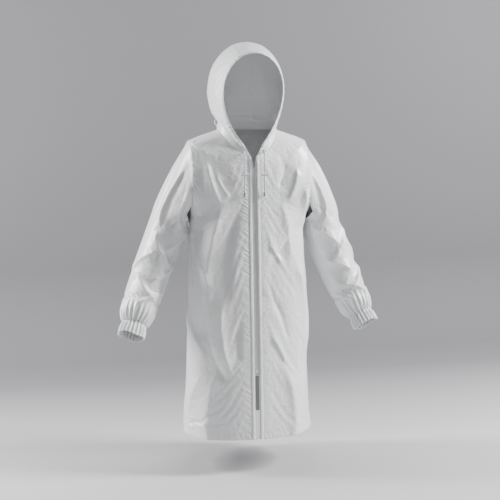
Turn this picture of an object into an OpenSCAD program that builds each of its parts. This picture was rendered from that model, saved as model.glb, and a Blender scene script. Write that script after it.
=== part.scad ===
// Hooded protective coat with a front zip, gathered cuffs and a drawcord hood.
// The frame: +Z up, the wearer faces -Y, and the wearer's left is +X.
// The origin is the middle of the neck opening, level with the nape.

/* [Coat body] */
// Length from the nape down to the hem
coat_length = 1020; // [900:10:1150]
// Half width of the body just below the arms
chest_half = 190; // [165:1:215]
// Half width of the body at the hem
hem_half = 213; // [190:1:260]
// Depth of the front at the hem, from the side seams forward
hem_front = 160; // [130:1:190]
// Depth of the back at the hem, from the side seams backward
hem_back = 150; // [120:1:180]
// Depth of the back at the shoulder blades
blade_back = 124; // [105:1:145]
// Thickness that stands for the cloth
cloth = 2; // [1.5:0.1:3]
// Height of the turned up hem
hem_height = 25; // [15:1:40]

/* [Neck and shoulders] */
// Half width of the neck opening
neck_half = 100; // [85:1:115]
// Depth of the neck opening in front of the side seams
neck_front = 97; // [85:1:115]
// Depth of the neck opening behind the side seams
neck_back = 76; // [65:1:90]
// Drop of the neckline from its sides to the zip
neck_drop = 85; // [60:1:110]
// Height of the neck band under the hood
band_height = 28; // [20:1:40]
// Height of the shoulder tips below the nape
shoulder_drop = 42; // [30:1:60]
// Half distance between the two armholes
armhole_half = 195; // [170:1:225]
// Height of the armhole
armhole_height = 244; // [200:2:280]
// Depth of the armhole, front to back
armhole_depth = 166; // [130:2:190]

/* [Sleeves] */
// How far the wrist hangs out from the middle of the coat
wrist_out = 388; // [330:1:440]
// How far the wrist hangs in front of the side seams
wrist_forward = 50; // [20:1:120]
// How far the wrist hangs below the nape
wrist_drop = 635; // [560:1:740]
// Radius of the sleeve where the cuff gathers it in
wrist_radius = 40; // [32:0.5:50]
// Radius of the frill at the cuff's open end
cuff_radius = 45; // [40:0.5:56]
// Length of the gathered cuff
cuff_length = 44; // [30:1:60]
// Width of the elastic inside the cuff
elastic_width = 12; // [8:1:20]
// How far a sleeve stands off its armhole
sleeve_gap = 1.2; // [0.5:0.1:2]

/* [Hood] */
// Height of the hood's top above the nape
hood_top = 276; // [250:1:300]
// Height of the top of the face opening above the nape
face_top = 235; // [215:1:250]
// Height above the nape where the face opening is widest
face_wide = 115; // [90:1:140]
// Half width of the face opening
face_half = 99; // [85:1:110]
// Half width of the hood over the ears
hood_half = 124; // [112:1:140]
// How far the hood reaches behind the side seams
hood_back = 126; // [110:1:145]
// How far the top of the face opening reaches forward
forehead = 122; // [105:1:140]
// Half width of the strip over the crown
crown_half = 45; // [35:1:60]
// Width of the hem that holds the drawcord round the face
casing_width = 20; // [16:1:26]

/* [Front zip] */
// Length of the zip
zip_length = 705; // [500:5:800]
// Half width of the gap between the two front edges
front_edge = 9; // [8:0.5:12]
// Half width of the zip with its tapes
tape_half = 16; // [13:0.5:20]
// Width of the stitched fold along each front edge
fold_width = 6; // [4:0.5:10]
// Length of the grey strip below the zip
strip_length = 115; // [60:5:140]
// Width of the grey strip below the zip
strip_width = 12; // [8:0.5:14]
// Length of the slider's body
slider_length = 12; // [9:0.5:16]
// Width of the slider's body
slider_width = 11; // [9.5:0.5:14]
// Length of the pull tab
pull_length = 26; // [16:1:40]
// Width of the pull tab
pull_width = 6; // [4:0.5:8]

/* [Drawcord] */
// Diameter of the drawcord
cord_d = 4; // [3:0.5:5]
// Distance of each drawcord from the zip
cord_x = 33; // [28:1:42]
// Length of the cord lock's barrel
lock_length = 19; // [18:0.5:24]
// Diameter of the cord lock's barrel
lock_d = 9; // [8.5:0.5:12]
// Travel of the cord lock's button
button_travel = 3; // [2:0.5:4]
// Length of the bell on the cord's end
bell_length = 15; // [12:1:22]

/* [Pockets and loop] */
// Height of the pocket opening's top below the nape
pocket_drop = 370; // [340:5:480]
// Length of the pocket opening
pocket_length = 150; // [120:5:180]
// Depth of the pocket bag below the opening
pocket_bag = 90; // [60:5:130]
// Width of the tape of the hanging loop
loop_tape = 6; // [4:0.5:9]
// Outer height of the hanging loop
loop_height = 34; // [26:1:45]

/* [Hidden] */

// Two solids that only meet keep this much air between them.
seam_gap = 0.2;
// Clearance of everything that slides or turns.
running = 0.3;

neck_side_z = -10;                          // the neck's sides lie this far below the nape
zip_top_z = neck_side_z - neck_drop;
lean = (hem_front - neck_front) / (coat_length + zip_top_z);
lean_angle = atan(lean);
armhole_top = -shoulder_drop - 2;
armpit_z = armhole_top - armhole_height;
armhole_mid = (armhole_top + armpit_z) / 2;

body_columns = 7;
arm_steps = 9;

// ---------------------------------------------------------------- helpers

function mix(a, b, t) = a + (b - a) * t;
function smooth(t) = let (u = min(1, max(0, t))) u * u * (3 - 2 * u);
function unit(v) = v / norm(v);
function flat(rows) = [for (row = rows) for (p = row) p];
function bezier(p, t) =
    pow(1 - t, 3) * p[0] + 3 * t * pow(1 - t, 2) * p[1] + 3 * t * t * (1 - t) * p[2] + pow(t, 3) * p[3];
function ring_quad(a, b, c, d) = [[a, b, c], [a, c, d]];

// A sheet with thickness: two grids of points, outer and inner, joined along their edges.
// wrap closes the columns into a tube.
module sheet(outer, inner, wrap = false) {
    rows = len(outer);
    cols = len(outer[0]);
    n = rows * cols;
    last = wrap ? cols - 1 : cols - 2;
    grid = [for (r = [0:rows - 2]) for (c = [0:last])
        let (d = (c + 1) % cols) [r * cols + c, r * cols + d, (r + 1) * cols + d, (r + 1) * cols + c]];
    skins = [for (q = grid) each concat(
        ring_quad(q[3], q[2], q[1], q[0]),
        ring_quad(q[0] + n, q[1] + n, q[2] + n, q[3] + n))];
    ends = [for (c = [0:last]) let (d = (c + 1) % cols, t = (rows - 1) * cols) each concat(
        ring_quad(c, d, d + n, c + n),
        ring_quad(t + d, t + c, t + c + n, t + d + n))];
    sides = wrap ? [] : [for (r = [0:rows - 2]) let (a = r * cols, b = a + cols, e = cols - 1) each concat(
        ring_quad(b, a, a + n, b + n),
        ring_quad(a + e, b + e, b + e + n, a + e + n))];
    polyhedron(concat(flat(outer), flat(inner)), concat(skins, ends, sides), convexity = 10);
}

// A round or flat tube with closed ends along a path; rings is one list of points for each stop.
module solid_sweep(rings) {
    rows = len(rings);
    cols = len(rings[0]);
    skin = [for (r = [0:rows - 2]) for (c = [0:cols - 1]) let (d = (c + 1) % cols)
        each ring_quad((r + 1) * cols + c, (r + 1) * cols + d, r * cols + d, r * cols + c)];
    polyhedron(flat(rings), concat(skin,
        [[for (c = [0:cols - 1]) c]],
        [[for (c = [cols - 1:-1:0]) (rows - 1) * cols + c]]), convexity = 10);
}

// The direction of a path at one of its points.
function heading(path, i) =
    unit(path[min(i + 1, len(path) - 1)] - path[max(i - 1, 0)]);

// Rings of a round tube along a path, kept square to it; side is a direction never along the path.
function tube_rings(path, r, sides, side) = [for (i = [0:len(path) - 1])
    let (t = heading(path, i), u = unit(cross(t, side)), v = cross(t, u))
    [for (k = [0:sides - 1]) path[i] + r * (cos(360 * k / sides) * u + sin(360 * k / sides) * v)]];

// ---------------------------------------------------------------- the body's shape

// How far forward the straight zip line lies at a height.
function zip_reach(z) = neck_front + lean * (zip_top_z - z);

// A level of the body: [height at the side, extra drop in front, half width, back depth,
// armhole half depth or -1, squareness].
function low_level(z) = [z, 0,
    lookup(z, [[-coat_length, hem_half], [mix(-coat_length, armpit_z, 0.55), mix(hem_half, chest_half, 0.62)],
        [armpit_z - 40, chest_half], [armpit_z, armhole_half]]),
    lookup(z, [[-coat_length, hem_back], [armpit_z - 180, blade_back + 4], [armpit_z, blade_back + 6]]),
    -1, 2.4];
function arm_level(k) = let (turn = 180 * k / arm_steps, t = (1 + cos(turn)) / 2) [
    armhole_mid + armhole_height / 2 * cos(turn), neck_drop * mix(0.04, 0.88, pow(t, 1.4)), armhole_half,
    mix(blade_back + 6, mix(blade_back, neck_back, 0.28), pow(t, 2)), armhole_depth / 2 * sin(turn), 2.4];
function shoulder_level(t) = [mix(armhole_top, neck_side_z, pow(t, 0.9)), neck_drop * mix(0.88, 1, t),
    mix(armhole_half, neck_half, t), mix(mix(blade_back, neck_back, 0.28), neck_back, t), -1, mix(2.4, 2.05, t)];

low_heights = concat([-coat_length, -coat_length + hem_height],
    [for (i = [1:8]) mix(-coat_length + hem_height, armpit_z - 40, i / 8)]);
low_levels = [for (z = low_heights) low_level(z)];
arm_levels = [for (k = [arm_steps:-1:0]) arm_level(k)];
shoulder_levels = [for (t = [0.34, 0.67, 1]) shoulder_level(t)];
body_levels = concat(low_levels, arm_levels, shoulder_levels);
neck_level = shoulder_level(1);

// The section's half width: at an armhole it is what brings the section's depth there to the armhole's.
function half_width(level, depth) = level[4] <= 0 ? level[2]
    : armhole_half / pow(1 - pow(min(0.97, level[4] / depth), level[5]), 1 / level[5]);
function front_depth(level) = zip_reach(level[0] - level[1]);
function depth_of(level, back) = back ? level[3] : front_depth(level);
// The angle at which a section is x wide, and the point of a section at an angle from its middle.
function angle_at(level, back, x, inset) =
    asin(pow(min(1, x / (half_width(level, depth_of(level, back)) - inset)), level[5] / 2));
function end_angle(level, back, inset) = level[4] < 0 ? 90 : angle_at(level, back, armhole_half, inset);
function section_point(level, back, angle, inset) = let (
        depth = depth_of(level, back),
        half = half_width(level, depth) - inset,
        power = 2 / level[5])
    [half * pow(sin(angle), power), (back ? 1 : -1) * (depth - inset) * pow(abs(cos(angle)), power),
        level[0] - (back ? 0 : level[1] * pow(cos(angle), 2))];

// One level's points on the wearer's left, from x = from to the side, or from an angle share to another.
function front_row(level, inset, from = front_edge, columns = body_columns) =
    let (a = angle_at(level, false, from, inset), b = end_angle(level, false, inset))
    [for (c = [0:columns]) section_point(level, false, mix(a, b, c / columns), inset)];
function back_row(level, inset, columns = body_columns) = let (b = end_angle(level, true, inset))
    [for (c = [0:columns]) section_point(level, true, mix(b, 0, c / columns), inset)];
function flip_row(row) = [for (i = [len(row) - 1:-1:0]) [-row[i][0], row[i][1], row[i][2]]];
function whole_back_row(level, inset) = let (left = back_row(level, inset))
    concat(left, [for (i = [1:body_columns]) let (p = left[body_columns - i]) [-p[0], p[1], p[2]]]);

// A strip between two x values near the front edge, or between two angles round the side seam.
function edge_strip(level, inset, x0, x1) =
    [for (x = [x0, x1]) section_point(level, false, angle_at(level, false, x, inset), inset)];
function side_strip(level, inset, spread) = [
    section_point(level, false, 90 - spread, inset),
    section_point(level, false, 90, inset),
    section_point(level, true, 90 - spread, inset)];

module front_panel() {
    sheet([for (l = body_levels) front_row(l, 0)], [for (l = body_levels) front_row(l, cloth)]);
}
module back_panel() {
    color("whitesmoke")
        sheet([for (l = body_levels) whole_back_row(l, 0)], [for (l = body_levels) whole_back_row(l, cloth)]);
}
module hem_fold() {
    levels = [low_levels[0], low_levels[1]];
    sheet([for (l = levels) front_row(l, cloth + seam_gap)], [for (l = levels) front_row(l, cloth + 1.4)]);
}
module hem_back_fold() {
    levels = [low_levels[0], low_levels[1]];
    color("whitesmoke")
        sheet([for (l = levels) whole_back_row(l, cloth + seam_gap)],
            [for (l = levels) whole_back_row(l, cloth + 1.4)]);
}
module front_fold() {
    sheet([for (l = body_levels) edge_strip(l, -1.2, front_edge + 0.2, front_edge + fold_width)],
        [for (l = body_levels) edge_strip(l, 0, front_edge + 0.2, front_edge + fold_width)]);
}
// The tape lies far enough inside to clear the flats of the panels' facets.
module side_seam_tape() {
    levels = [for (l = low_levels) if (l[0] > -coat_length + hem_height) l];
    tape_inset = cloth + 1.3;
    sheet([for (l = levels) side_strip(l, tape_inset, 9)], [for (l = levels) side_strip(l, tape_inset + 0.6, 9)]);
}
// The welt lies on the front panel beside the side seam, and the bag hangs inside behind it.
module pocket_welt() {
    top = -pocket_drop;
    levels = [for (i = [0:3]) low_level(top - pocket_length + pocket_length * i / 3)];
    sheet([for (l = levels) [for (a = [76, 80, 84]) section_point(l, false, a, -2.2)]],
        [for (l = levels) [for (a = [76, 80, 84]) section_point(l, false, a, -1.2)]]);
}
module pocket_bag() {
    top = -pocket_drop;
    bottom = top - pocket_length - pocket_bag;
    levels = [for (i = [0:4]) low_level(mix(bottom, top + 10, i / 4))];
    bag_inset = cloth + 2.8;
    sheet([for (l = levels) [for (a = [36, 48, 60, 72, 84]) section_point(l, false, a, bag_inset)]],
        [for (l = levels) [for (a = [36, 48, 60, 72, 84]) section_point(l, false, a, bag_inset + 2)]]);
}

// ---------------------------------------------------------------- the neck band

// The band's lower edge is the neckline; its upper edge leans in, and its ends lean apart in a V.
band_lean = 4;
band_columns = 12;
band_gap = 0.6;                              // the band stands this far off the facets of the neckline
v_spread = 20;
function band_row(t, inset) = let (
        level = neck_level,
        start = angle_at(level, false, front_edge + v_spread * t, inset),
        move = inset + band_lean * t,
        front = [for (c = [0:band_columns]) section_point(level, false, mix(start, 90, c / band_columns), move)],
        back = [for (c = [1:band_columns]) section_point(level, true, 90 - 90 * c / band_columns, move)],
        lift = [0, 0, band_height * t + band_gap])
    [for (p = concat(front, back)) p + lift];
function whole_band_row(t, inset) = let (left = band_row(t, inset), n = len(left) - 1)
    concat(left, [for (i = [1:n]) [-left[n - i][0], left[n - i][1], left[n - i][2]]]);
module neck_band() {
    color("whitesmoke")
        sheet([for (t = [0, 0.5, 1]) whole_band_row(t, 0)], [for (t = [0, 0.5, 1]) whole_band_row(t, cloth)]);
}

// ---------------------------------------------------------------- sleeves

wrist = [wrist_out, -wrist_forward, -wrist_drop];
sleeve_line = [
    [armhole_half + sleeve_gap, 0, armhole_mid],
    [mix(armhole_half, wrist_out, 0.33), 38, mix(armhole_mid, -wrist_drop, 0.33)],
    [mix(armhole_half, wrist_out, 0.67), 42, mix(armhole_mid, -wrist_drop, 0.67)],
    wrist];
sleeve_stops = [0, 0.04, 0.09, 0.15, 0.22, 0.3, 0.4, 0.5, 0.6, 0.7, 0.8, 0.88, 0.94, 0.975, 1];
function sleeve_heading(s) = unit(bezier(sleeve_line, min(1, s + 0.02)) - bezier(sleeve_line, max(0, s - 0.02)));
function sleeve_radius(s) = lookup(s, [[0, 104], [0.1, 90], [0.2, 76], [0.3, 68], [0.55, 64], [0.77, 62], [0.88, 58],
    [0.94, 53.5], [0.975, 47.5], [1, wrist_radius]]);
function sleeve_flat(s) = lookup(s, [[0, 0.83], [0.2, 1.06], [0.45, 1.12], [0.9, 1.06], [1, 1]]);
// The armhole's edge on the body, on the wearer's left, j steps down the front and up the back.
function armhole_point(j, inset) = let (
        back = j > arm_steps,
        k = back ? 2 * arm_steps - j : j,
        level = arm_level(k),
        p = section_point(level, back, end_angle(level, back, inset), inset))
    [armhole_half + sleeve_gap, p[1], p[2] - inset * cos(180 * k / arm_steps)];
function open_ring(s, inset) = let (
        middle = bezier(sleeve_line, s),
        t = sleeve_heading(s),
        fore = unit([0, -1, 0] + t * t[1]),
        out = cross(fore, t),
        r = sleeve_radius(s) - inset,
        share = smooth(s / 0.3),
        drift = middle - sleeve_line[0])
    [for (j = [0:2 * arm_steps - 1]) let (a = 180 * j / arm_steps)
        mix(armhole_point(j, inset) + drift,
            middle + r * (cos(a) * out + sleeve_flat(s) * sin(a) * fore), share)];
// The upper sleeve hangs flat beside the body: its rings stay outside the armhole's plane, and
// their undersides reach lower and lower down.
function sleeve_ring(s, inset) = let (
        outer = open_ring(s, 0),
        low_x = min([for (p = outer) p[0]]), high_x = max([for (p = outer) p[0]]),
        low_z = min([for (p = outer) p[2]]), high_z = max([for (p = outer) p[2]]),
        near_x = armhole_half + sleeve_gap + 8 * s, under_z = armpit_z - 70 * s,
        x_share = low_x < near_x ? (high_x - near_x) / (high_x - low_x) : 1,
        z_share = low_z > under_z ? (high_z - under_z) / (high_z - low_z) : 1)
    [for (p = open_ring(s, inset)) [high_x - (high_x - p[0]) * x_share, p[1], high_z - (high_z - p[2]) * z_share]];
module sleeve() {
    sheet([for (s = sleeve_stops) sleeve_ring(s, 0)], [for (s = sleeve_stops) sleeve_ring(s, cloth)], wrap = true);
}
// Puts its children at the wrist, with +Z along the arm towards the hand.
module at_wrist() {
    t = sleeve_heading(1);
    fore = unit([0, -1, 0] + t * t[1]);
    out = cross(fore, t);
    multmatrix([[out[0], fore[0], t[0], wrist[0]], [out[1], fore[1], t[1], wrist[1]],
        [out[2], fore[2], t[2], wrist[2]], [0, 0, 0, 1]]) children();
}
module cuff() {
    at_wrist() rotate_extrude($fn = 48) polygon([
        [wrist_radius - cloth, running], [wrist_radius, running], [cuff_radius, cuff_length],
        [cuff_radius - cloth, cuff_length]]);
}
module cuff_elastic() {
    grow = (cuff_radius - wrist_radius) / cuff_length;
    inner = wrist_radius - cloth - seam_gap;
    at_wrist() rotate_extrude($fn = 48) polygon([
        [inner + grow * 2 - 1.4, 2], [inner + grow * 2, 2],
        [inner + grow * (2 + elastic_width), 2 + elastic_width],
        [inner + grow * (2 + elastic_width) - 1.4, 2 + elastic_width]]);
}
// A short mesh vent on the sleeve, low on the front of the armpit.
module underarm_vent() {
    rings = [for (s = [0.05, 0.08, 0.11, 0.14]) let (r = sleeve_ring(s, 0))
        [for (j = [arm_steps - 3:arm_steps - 1]) r[j]]];
    function facing(i, j) = unit(cross(rings[min(i + 1, 3)][j] - rings[max(i - 1, 0)][j],
        rings[i][min(j + 1, 2)] - rings[i][max(j - 1, 0)]));
    sign = facing(1, 1)[1] > 0 ? -1 : 1;
    sheet([for (i = [0:3]) [for (j = [0:2]) rings[i][j] + sign * 1.6 * facing(i, j)]],
        [for (i = [0:3]) [for (j = [0:2]) rings[i][j] + sign * 0.8 * facing(i, j)]]);
}

// ---------------------------------------------------------------- hood

// Half width, and place forward, of the face opening's edge at a height.
function face_width(z) = z > face_wide
    ? face_half * sqrt(max(0, 1 - pow((z - face_wide) / (face_top - face_wide), 2)))
    : face_half * (1 - pow((face_wide - z) / (face_wide - zip_top_z), 2.25));
function face_reach(z) = let (t = (z - zip_top_z) / (face_top - zip_top_z))
    mix(neck_front, forehead, t) - 20 * sin(180 * pow(max(0, t), 0.8));
// The crown's profile, from the forehead at 0 over the top and down to the nape at 1: [y, z].
crown_middle = [5, 118];
crown_rise = hood_top - crown_middle[1];
nape_z = neck_side_z + band_height + band_gap;
front_span = (forehead + crown_middle[0]) / sqrt(1 - pow((face_top - crown_middle[1]) / crown_rise, 2));
back_span = hood_back - crown_middle[0];
nape_y = neck_back - band_lean;
nape_fall = (crown_middle[1] - nape_z - sleeve_gap) / sqrt(1 - pow((nape_y - crown_middle[0]) / back_span, 2));
front_turn = 180 - asin((face_top - crown_middle[1]) / crown_rise);
nape_turn = -acos((nape_y - crown_middle[0]) / back_span);
function crown_point(t) = let (turn = mix(front_turn, nape_turn, t))
    [crown_middle[0] + (turn > 90 ? front_span : back_span) * cos(turn),
        crown_middle[1] + (turn > 0 ? crown_rise : nape_fall) * sin(turn)];
// The crown starts behind the casing, and its front edge follows the curve of the face opening.
crown_pace = (front_turn - nape_turn) * PI / 180
    * norm([front_span * sin(front_turn), crown_rise * cos(front_turn)]);
crown_start = (casing_width + seam_gap) / crown_pace;
front_slope = atan2(crown_rise * -cos(front_turn), front_span * sin(front_turn));
face_corner = (face_top - face_wide) * (1 - sqrt(1 - pow(crown_half / face_half, 2)));
function crown_row(t, inset, half = crown_half) = let (
        p = crown_point(t), q = crown_point(t + 0.01), d = unit([q[0] - p[0], q[1] - p[1]]),
        n = [d[1], -d[0]], droop = mix(face_corner, 5, smooth(t / 0.35)))
    [for (c = [-3:3]) let (x = half * c / 3, sink = droop * pow(x / crown_half, 2) + inset)
        [x, p[0] + n[0] * sink, p[1] + n[1] * sink]];
crown_stops = [for (i = [0:16]) mix(crown_start, 1, i / 16)];
crown_gap = 1.2;                             // the crown's edges stop short of the walls of the two sides
module hood_crown() {
    color("whitesmoke")
        sheet([for (t = crown_stops) crown_row(t, 0, crown_half - crown_gap)],
            [for (t = crown_stops) crown_row(t, cloth, crown_half - crown_gap)]);
}

// The side's edge is one loop: up the face opening, back over the crown, and forward along the neck.
hood_left_low = band_row(1, 0);
face_low = hood_left_low[3][2] + 6;          // the casing's lower ends pass just in front of the band
face_high = face_wide + (face_top - face_wide) * sqrt(1 - pow(crown_half / face_half, 2));
// The way back along the hood's surface from the face opening: outward and down beside the zip,
// back at the sides, and up at the top.
function face_across(x, z) = let (
        high = max(0, (z - face_wide) / (face_top - face_wide)),
        low = pow(max(0, (face_wide - z) / (face_wide - face_low)), 2))
    unit([x / face_half * (0.22 + 0.3 * high + 1.1 * low), 1 - 0.3 * low,
        tan(front_slope) * pow(high, 1.5) - 0.7 * low]);
// The casing narrows towards its lower ends.
function casing_share(z) = mix(0.5, 1, smooth((z - face_low) / 70));
function face_edge(z) = let (back = casing_width * casing_share(z) + seam_gap)
    [face_width(z), -face_reach(z), z] + back * face_across(face_width(z), z);
hood_seat = sleeve_gap;                      // the hood stands this far off the neck band
function neck_edge(i) = hood_left_low[i] + [0, 0, hood_seat];
function crown_edge(t) = let (row = crown_row(t, 0)) row[6];
neck_last = max([for (i = [0:2 * band_columns]) hood_left_low[i][0] > crown_half + 4 ? i : 0]);
side_loop = concat(
    [for (i = [0:9]) face_edge(mix(face_low + 2, face_high, i / 9.4))],
    [for (i = [0:15]) crown_edge(mix(crown_start, 1, i / 15))],
    [for (i = [neck_last:-1:4]) neck_edge(i)]);
ear = [hood_half, -5, 108];
// Across the face and the neck the side runs on nearly straight; at the crown it turns right over.
function side_point(i, r, inset) = let (
        edge = side_loop[i],
        over = (i >= 10 && i <= 25) ? 1 : 0,
        rise = over == 1 ? sqrt(max(0, 1 - r * r)) : 1 - pow(r, 2.6),
        flat_place = [mix(ear[1], edge[1], r), mix(ear[2], edge[2], r)],
        inward = unit([flat_place[0] - ear[1], flat_place[1] - ear[2] + 0.001]))
    [mix(edge[0], ear[0], rise) - inset * (1 - 0.6 * over * r * r),
        flat_place[0] - inward[0] * inset * over * r,
        flat_place[1] - inward[1] * inset * over * r];
side_shares = [0.22, 0.42, 0.6, 0.75, 0.87, 0.95, 1];
module hood_side() {
    n = len(side_loop);
    rings = len(side_shares);
    total = 1 + n * rings;
    outer = [for (r = side_shares) [for (i = [0:n - 1]) side_point(i, r, 0)]];
    inner = [for (r = side_shares) [for (i = [0:n - 1]) side_point(i, r, cloth)]];
    points = concat([ear], flat(outer), [ear - [cloth, 0, 0]], flat(inner));
    fan = [for (i = [0:n - 1]) let (j = (i + 1) % n) each [
        [0, 1 + j, 1 + i], [total, total + 1 + i, total + 1 + j]]];
    web = [for (k = [0:rings - 2]) for (i = [0:n - 1])
        let (j = (i + 1) % n, a = 1 + k * n, b = a + n) each concat(
            ring_quad(a + i, a + j, b + j, b + i),
            ring_quad(total + b + i, total + b + j, total + a + j, total + a + i))];
    rim = [for (i = [0:n - 1]) let (j = (i + 1) % n, b = 1 + (rings - 1) * n)
        each ring_quad(b + i, b + j, total + b + j, total + b + i)];
    polyhedron(points, concat(fan, web, rim), convexity = 10);
}

// The casing runs from one end of the neck band, over the forehead, to the other end.
casing_thick = 7;
channel_r = cord_d / 2 + 0.5;
channel_place = 0.45;
casing_levels = concat(
    [for (i = [0:12]) mix(face_low + 2, face_wide, i / 12)],
    [for (i = [1:9]) face_wide + (face_top - face_wide) * sin(90 * i / 9)]);
casing_half_path = [for (z = casing_levels) [face_width(z), -face_reach(z), z]];
casing_path = let (n = len(casing_half_path) - 1) concat(casing_half_path,
    [for (i = [1:n]) let (p = casing_half_path[n - i]) [-p[0], p[1], p[2]]]);
// Rings of the casing: across is the way back along the hood, through is out of its surface.
// A point is [share of the width across, offset across, depth].
function casing_ring(i, points) = let (
        p = casing_path[i], t = heading(casing_path, i), back = face_across(p[0], p[2]),
        across = unit(back - t * (t * back)), through = cross(across, t))
    [for (q = points) p + (q[0] * casing_width * casing_share(p[2]) + q[1]) * across + q[2] * through];
casing_outline = [for (k = [0:9]) let (a = 36 * k)
    [(1 + cos(a)) / 2, 0, -casing_thick / 2 * (1 - sin(a))]];
channel_outline = [for (k = [0:9]) let (a = 36 * k)
    [channel_place, channel_r * cos(a), -casing_thick / 2 + channel_r * sin(a)]];
module hood_casing() {
    color("white")
        sheet([for (i = [0:len(casing_path) - 1]) casing_ring(i, casing_outline)],
            [for (i = [0:len(casing_path) - 1]) casing_ring(i, channel_outline)], wrap = true);
}
module drawcord_in_casing() {
    cord_outline = [for (k = [0:7]) let (a = -45 * k)
        [channel_place, cord_d / 2 * cos(a), -casing_thick / 2 + cord_d / 2 * sin(a)]];
    color("white")
        solid_sweep([for (i = [0:len(casing_path) - 1]) casing_ring(i, cord_outline)]);
}

// ---------------------------------------------------------------- front zip

// Its children stand at the zip's top with -Z down the zip and -Y out of the cloth.
module on_zip() {
    translate([0, -neck_front, zip_top_z]) rotate([-lean_angle, 0, 0]) children();
}
zip_end = -zip_length;
hem_on_zip = -(coat_length + zip_top_z) / cos(lean_angle);
coil_in = 0.8;                               // half the gap between the two coils
coil_out = 3.4;
coil_front = 1.4;                            // the coils lie between these two depths
coil_back = 3.8;
tape_front = cloth + 0.9;                    // the tapes lie behind the panels' edges
tape_thick = 0.8;
slider_plate = 1.3;
slider_top = -2;
box_height = 9;
pin_depth = -2.2;                            // the pull's pin, in front of the slider's top plate
pin_r = 0.7;
pin_z = slider_top - slider_length / 2;
knuckle_half = 1.6;

module zip_tape() {
    translate([coil_out, tape_front, zip_end - 6]) cube([tape_half - coil_out, tape_thick, zip_length + 6]);
}
module zip_coil() {
    translate([coil_in, coil_front, zip_end + box_height])
        cube([coil_out - coil_in, coil_back - coil_front, zip_length - box_height - 1.8]);
}
module zip_top_stops() {
    color("silver") on_zip() for (side = [0, 1]) mirror([side, 0, 0])
        translate([coil_in, coil_front - 0.2, -1.6]) cube([coil_out - coil_in, coil_back - coil_front + 0.4, 2.2]);
}
module zip_bottom_box() {
    color("white") on_zip() translate([-coil_out + 0.1, coil_front - 0.4, zip_end])
        cube([2 * coil_out - 0.2, coil_back - coil_front + 0.8, box_height - running]);
}
module slider_plate_shape(front, thick) {
    translate([0, front, slider_top - slider_length]) rotate([-90, 0, 0]) linear_extrude(thick) polygon([
        [-slider_width / 2 + 1.2, 0], [slider_width / 2 - 1.2, 0], [slider_width / 2, -slider_length + 3],
        [slider_width / 2 - 1.6, -slider_length], [-slider_width / 2 + 1.6, -slider_length],
        [-slider_width / 2, -slider_length + 3]]);
}
module zip_slider() {
    top_front = coil_front - running - slider_plate;
    back_front = coil_back + running;
    flange_x = coil_out + running + 0.2;
    flange_w = slider_width / 2 - 1.2 - flange_x;
    color("silver") on_zip() {
        slider_plate_shape(top_front, slider_plate);
        slider_plate_shape(back_front, slider_plate);
        translate([-0.5, top_front, slider_top - slider_length + 1.5])
            cube([1, back_front + slider_plate - top_front, slider_length - 3]);
        for (side = [-1, 1]) {
            lug = side < 0 ? -knuckle_half - running - 1 : knuckle_half + running;
            translate([lug, pin_depth - 1.5, pin_z - 1.6]) cube([1, top_front - pin_depth + 1.5 + 0.4, 3.2]);
            edge = side < 0 ? -flange_x - flange_w : flange_x;
            translate([edge, top_front, slider_top - slider_length + 1])
                cube([flange_w, tape_front - running - top_front, slider_length - 3]);
            translate([edge, tape_front + tape_thick + running, slider_top - slider_length + 1])
                cube([flange_w, back_front - tape_front - tape_thick, slider_length - 3]);
        }
        translate([-knuckle_half - running - 0.5, pin_depth, pin_z]) rotate([0, 90, 0])
            cylinder(h = 2 * knuckle_half + 2 * running + 1, r = pin_r, $fn = 24);
    }
}
module zip_pull() {
    thick = 1.4;
    color("silver") on_zip() difference() {
        union() {
            translate([-knuckle_half, pin_depth, pin_z]) rotate([0, 90, 0])
                cylinder(h = 2 * knuckle_half, r = 1.4, $fn = 32);
            translate([-knuckle_half, pin_depth - thick / 2, pin_z - 7]) cube([2 * knuckle_half, thick, 7]);
            translate([0, pin_depth - thick / 2, pin_z - 6]) rotate([-90, 0, 0]) linear_extrude(thick) polygon([
                [-pull_width / 2 + 1, 0], [pull_width / 2 - 1, 0], [pull_width / 2, 3],
                [pull_width / 2 - 0.6, pull_length - 6], [-pull_width / 2 + 0.6, pull_length - 6],
                [-pull_width / 2, 3]]);
        }
        translate([-knuckle_half - 1, pin_depth, pin_z]) rotate([0, 90, 0])
            cylinder(h = 2 * knuckle_half + 2, r = pin_r + 0.08, $fn = 24);
        translate([0, pin_depth - thick, pin_z - pull_length + 5]) rotate([-90, 0, 0])
            cylinder(h = 2 * thick, r = 1.3, $fn = 24);
    }
}
module lower_placket() {
    half = front_edge - seam_gap;
    color("whitesmoke") on_zip() translate([-half, 0, hem_on_zip])
        cube([2 * half, cloth, zip_end - 7 - hem_on_zip]);
}
module grey_strip() {
    color("dimgray") on_zip() translate([-strip_width / 2, -0.9, zip_end - 9 - strip_length])
        cube([strip_width, 0.9, strip_length]);
}

// ---------------------------------------------------------------- drawcord ends

// The end of the cord leaves its eyelet forwards, turns down and hangs straight.
eyelet_z = zip_top_z + 17;
hang_y = -neck_front - 16;
eyelet_y = -neck_front + 0.8;
cord_end_z = zip_top_z - 112;
lock_z = zip_top_z - 56;
cord_path = concat(
    [[cord_x, eyelet_y - 3, eyelet_z], [cord_x, eyelet_y - 6, eyelet_z + 0.4], [cord_x, eyelet_y - 10, eyelet_z - 1],
        [cord_x, eyelet_y - 13.5, eyelet_z - 4], [cord_x, eyelet_y - 16, eyelet_z - 8.5]],
    [for (i = [0:14]) [cord_x, hang_y, mix(eyelet_z - 14, cord_end_z, i / 14)]]);
module eyelet() {
    translate([cord_x, eyelet_y, eyelet_z]) rotate([90, 0, 0]) rotate_extrude($fn = 40)
        polygon([[cord_d / 2 + 0.6, 0.4], [cord_d / 2 + 3.6, 0.4], [cord_d / 2 + 3.2, 1.5], [cord_d / 2 + 1.4, 2.2],
            [cord_d / 2 + 0.6, 1.6]]);
}
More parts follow.
